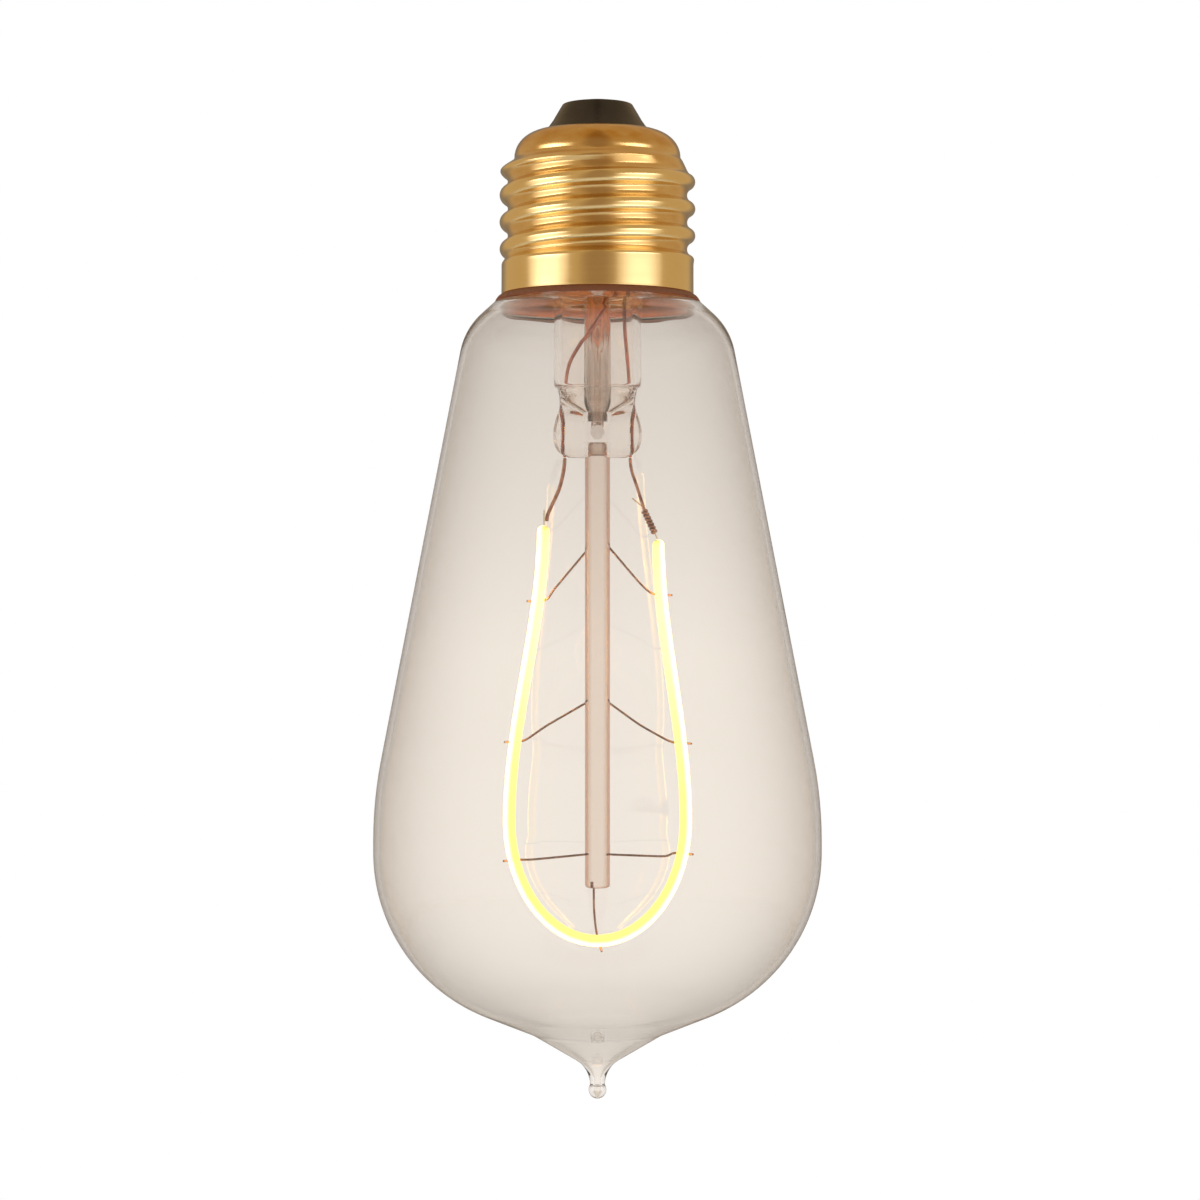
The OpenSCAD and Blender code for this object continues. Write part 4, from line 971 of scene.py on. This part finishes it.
# CAD nodes that keep their shape
nodeSlots = {
    "filament_strip": "strip", "filament_chips": "chips", "filament_tab_left": "tab",
    "filament_tab_right": "tab", "driver_board": "board", "capacitor": "capacitor_sleeve",
    "rectifier": "package", "driver_chip": "package", "chip_resistors": "package",
    "fuse_resistor": "fuse_body", "fuse_sleeve": "sleeve",
    "contact_lead": "tinned_wire", "shell_lead": "tinned_wire", "shell_solder": "solder",
}
for node, slot in nodeSlots.items():
    for holder in frame["nodes"][node].material_slots:
        holder.material = materials[slot]
print("kept nodes finished")

# Studio: a soft box on each side of the camera, the filament's glow, a pale floor and a white
# surround. The lamps light the pieces through the glass and leave no hard reflections in it.
studio = {
    "boxAngles": (-62, 52), "boxWidths": (760, 800), "boxHeight": 900, "boxDistance": 700,
    "boxLevels": (1.05, 0.86),  # how bright a box's middle looks, where 1 is white
    "boxRise": -100, "boxSides": (1, 0.25), "boxTips": (1, 3.9),
    "fadeSpan": (0.12, 0.5), "tipSpan": (0.26, 0.45),  # from a box's middle, as shares of its size
    "dimSurround": "#c8ac82", "frontSurround": "#a28563", "rimSurround": "#8a7d6e",
    "frontSpread": (9, 24), "rimSpread": (25, 42), "mirroredSpread": (1, 4), "roomLight": "#e9e5df",
    "glowColour": "#ffdca4", "glowPower": 0.12, "glowR": 6, "glowDrop": 70,
    "floorDrop": 300, "floorRadius": 620, "floorFade": (0.4, 0.97), "floorColour": "#f6f5f3",
}


# a lamp that lights the listed pieces only
def addLamp(data, lit):
    lamp = bpy.data.objects.new(data.name, data)
    lamp.light_linking.receiver_collection = lit
    lamp.light_linking.blocker_collection = lit
    scene.collection.objects.link(lamp)
    return lamp


def buildBoxes():
    t = studio
    lit = bpy.data.collections.new("litPieces")
    glass = {materials[slot].name for slot in glassLooks}
    for piece in scene.objects:
        if piece.type == "MESH" and not glass & {holder.name for holder in piece.material_slots}:
            lit.objects.link(piece)
    for angle, width, level in zip(t["boxAngles"], t["boxWidths"], t["boxLevels"]):
        data = bpy.data.lights.new("softBox", "AREA")
        data.shape = "RECTANGLE"
        data.size, data.size_y = width * mm, t["boxHeight"] * mm
        data.energy = level * pi * data.size * data.size_y
        # the cloth dims to the sides of the box and is brightest at its top and bottom
        data.use_nodes = True
        tree = data.node_tree
        place = addNode(tree, "NewGeometry").outputs["Parametric"]
        centred = addNode(tree, "VectorMath", {0: place, 1: (0.5, 0.5, 0)}, operation="SUBTRACT")
        across = addNode(tree, "SeparateXYZ", {"Vector": centred})
        reach = addNode(tree, "Math", {0: across.outputs["X"]}, operation="ABSOLUTE")
        fade = addNode(tree, "MapRange", {
            "Value": reach, **ends("From", t["fadeSpan"]), **ends("To", t["boxSides"])},
            interpolation_type="SMOOTHSTEP")
        up = addNode(tree, "Math", {0: across.outputs["Y"]}, operation="ABSOLUTE")
        tips = addNode(tree, "MapRange", {
            "Value": up, **ends("From", t["tipSpan"]), **ends("To", t["boxTips"])})
        glowing = addNode(tree, "Math", {0: fade, 1: tips}, operation="MULTIPLY")
        tree.links.new(glowing.outputs[0], tree.nodes["Emission"].inputs["Strength"])
        a = radians(angle)
        lamp = addLamp(data, lit)
        lamp.location = Vector((sin(a), -cos(a), 0)) * t["boxDistance"] * mm
        lamp.location.z = (t["boxRise"] - view["drop"]) * mm
        aim = Vector((0, 0, -view["drop"] * mm)) - lamp.location
        lamp.rotation_euler = aim.to_track_quat("-Z", "Y").to_euler()


# the filament's own light on the pieces round it, which the glass would hold back
def buildGlow():
    t = studio
    data = bpy.data.lights.new("filamentGlow", "POINT")
    data.color = linear(t["glowColour"])[:3]
    data.energy = t["glowPower"]
    data.shadow_soft_size = t["glowR"] * mm
    lamp = addLamp(data, bpy.data.collections["litPieces"])
    lamp.location = (0, -t["glowR"] * mm, -t["glowDrop"] * mm)
    lamp.visible_camera = lamp.visible_glossy = lamp.visible_transmission = False


# White to the camera and through glass. Metal and glass mirror it where it stands behind, and
# mirror dimmer walls elsewhere: darker ones behind the camera and round the white.
def buildSurround():
    t = studio
    world = bpy.data.worlds.new("surround")
    scene.world = world
    world.use_nodes = True
    tree = world.node_tree
    tree.nodes.clear()
    path = addNode(tree, "LightPath")
    place = addNode(tree, "TexCoord")
    level = addNode(tree, "VectorMath", {
        0: place.outputs["Generated"], 1: (1, 1, 0)}, operation="MULTIPLY")
    unit = addNode(tree, "VectorMath", {0: level}, operation="NORMALIZE")
    directions = {"frontSpread": (unit, (0, -1, 0))}
    for spread in ("rimSpread", "mirroredSpread"):
        directions[spread] = (place.outputs["Generated"], (0, 1, 0))
    share = {}
    for spread, (way, aim) in directions.items():
        towards = addNode(tree, "VectorMath", {0: way, 1: aim}, operation="DOT_PRODUCT")
        near, far = (cos(radians(a)) for a in t[spread])
        share[spread] = addNode(tree, "MapRange", {
            "Value": towards.outputs["Value"], "From Min": far, "From Max": near})
    front = addNode(tree, "Mix", {
        0: share["frontSpread"], 6: linear(t["dimSurround"]), 7: linear(t["frontSurround"])},
        data_type="RGBA")
    rim = addNode(tree, "Mix", {
        0: share["rimSpread"], 6: front.outputs[2], 7: linear(t["rimSurround"])}, data_type="RGBA")
    dim = addNode(tree, "Mix", {
        0: path.outputs["Is Diffuse Ray"], 6: rim.outputs[2], 7: linear(t["roomLight"])},
        data_type="RGBA")
    mirrored = addNode(tree, "Math", {
        0: share["mirroredSpread"], 1: path.outputs["Is Glossy Ray"]}, operation="MULTIPLY")
    direct = addNode(tree, "Math", {
        0: path.outputs["Is Camera Ray"], 1: path.outputs["Is Transmission Ray"]}, operation="MAXIMUM")
    seen = addNode(tree, "Math", {0: mirrored, 1: direct}, operation="MAXIMUM")
    colour = addNode(tree, "Mix", {0: seen, 6: dim.outputs[2], 7: (1, 1, 1, 1)}, data_type="RGBA")
    light = addNode(tree, "Background", {"Color": colour.outputs[2], "Strength": 1})
    addNode(tree, "OutputWorld", {"Surface": light})


# a painted disc far below, which fades out into the surround
def buildFloor():
    t = studio
    rows, sides = 12, 64
    disc = bmesh.new()
    bmesh.ops.create_grid(disc, x_segments=2 * rows, y_segments=2 * rows, size=t["floorRadius"] * mm)
    for corner in disc.verts:
        reach = max(abs(corner.co.x), abs(corner.co.y))
        if corner.co.length > 0:
            corner.co *= reach / corner.co.length
        corner.co.z = -t["floorDrop"] * mm
    mesh = bpy.data.meshes.new("floor")
    disc.to_mesh(mesh)
    disc.free()
    floor = bpy.data.objects.new("floor", mesh)
    scene.collection.objects.link(floor)
    material, tree, place = startMaterial("paintedFloor")
    fade = addNode(tree, "MapRange", {
        "Value": axisDistance(tree, place), **ends("From", t["floorFade"], t["floorRadius"] * mm)})
    matt = addNode(tree, "BsdfDiffuse", {"Color": linear(t["floorColour"])})
    clear = addNode(tree, "BsdfTransparent")
    shader = addNode(tree, "MixShader", {0: fade, 1: matt, 2: clear})
    addNode(tree, "OutputMaterial", {"Surface": shader})
    mesh.materials.append(material)


buildBoxes()
buildGlow()
buildSurround()
buildFloor()
scene.view_settings.view_transform = "Standard"
bounces = 100  # light crosses many walls of glass
for kind in ("max_bounces", "transmission_bounces", "glossy_bounces", "transparent_max_bounces"):
    setattr(scene.cycles, kind, bounces)
print("studio built")
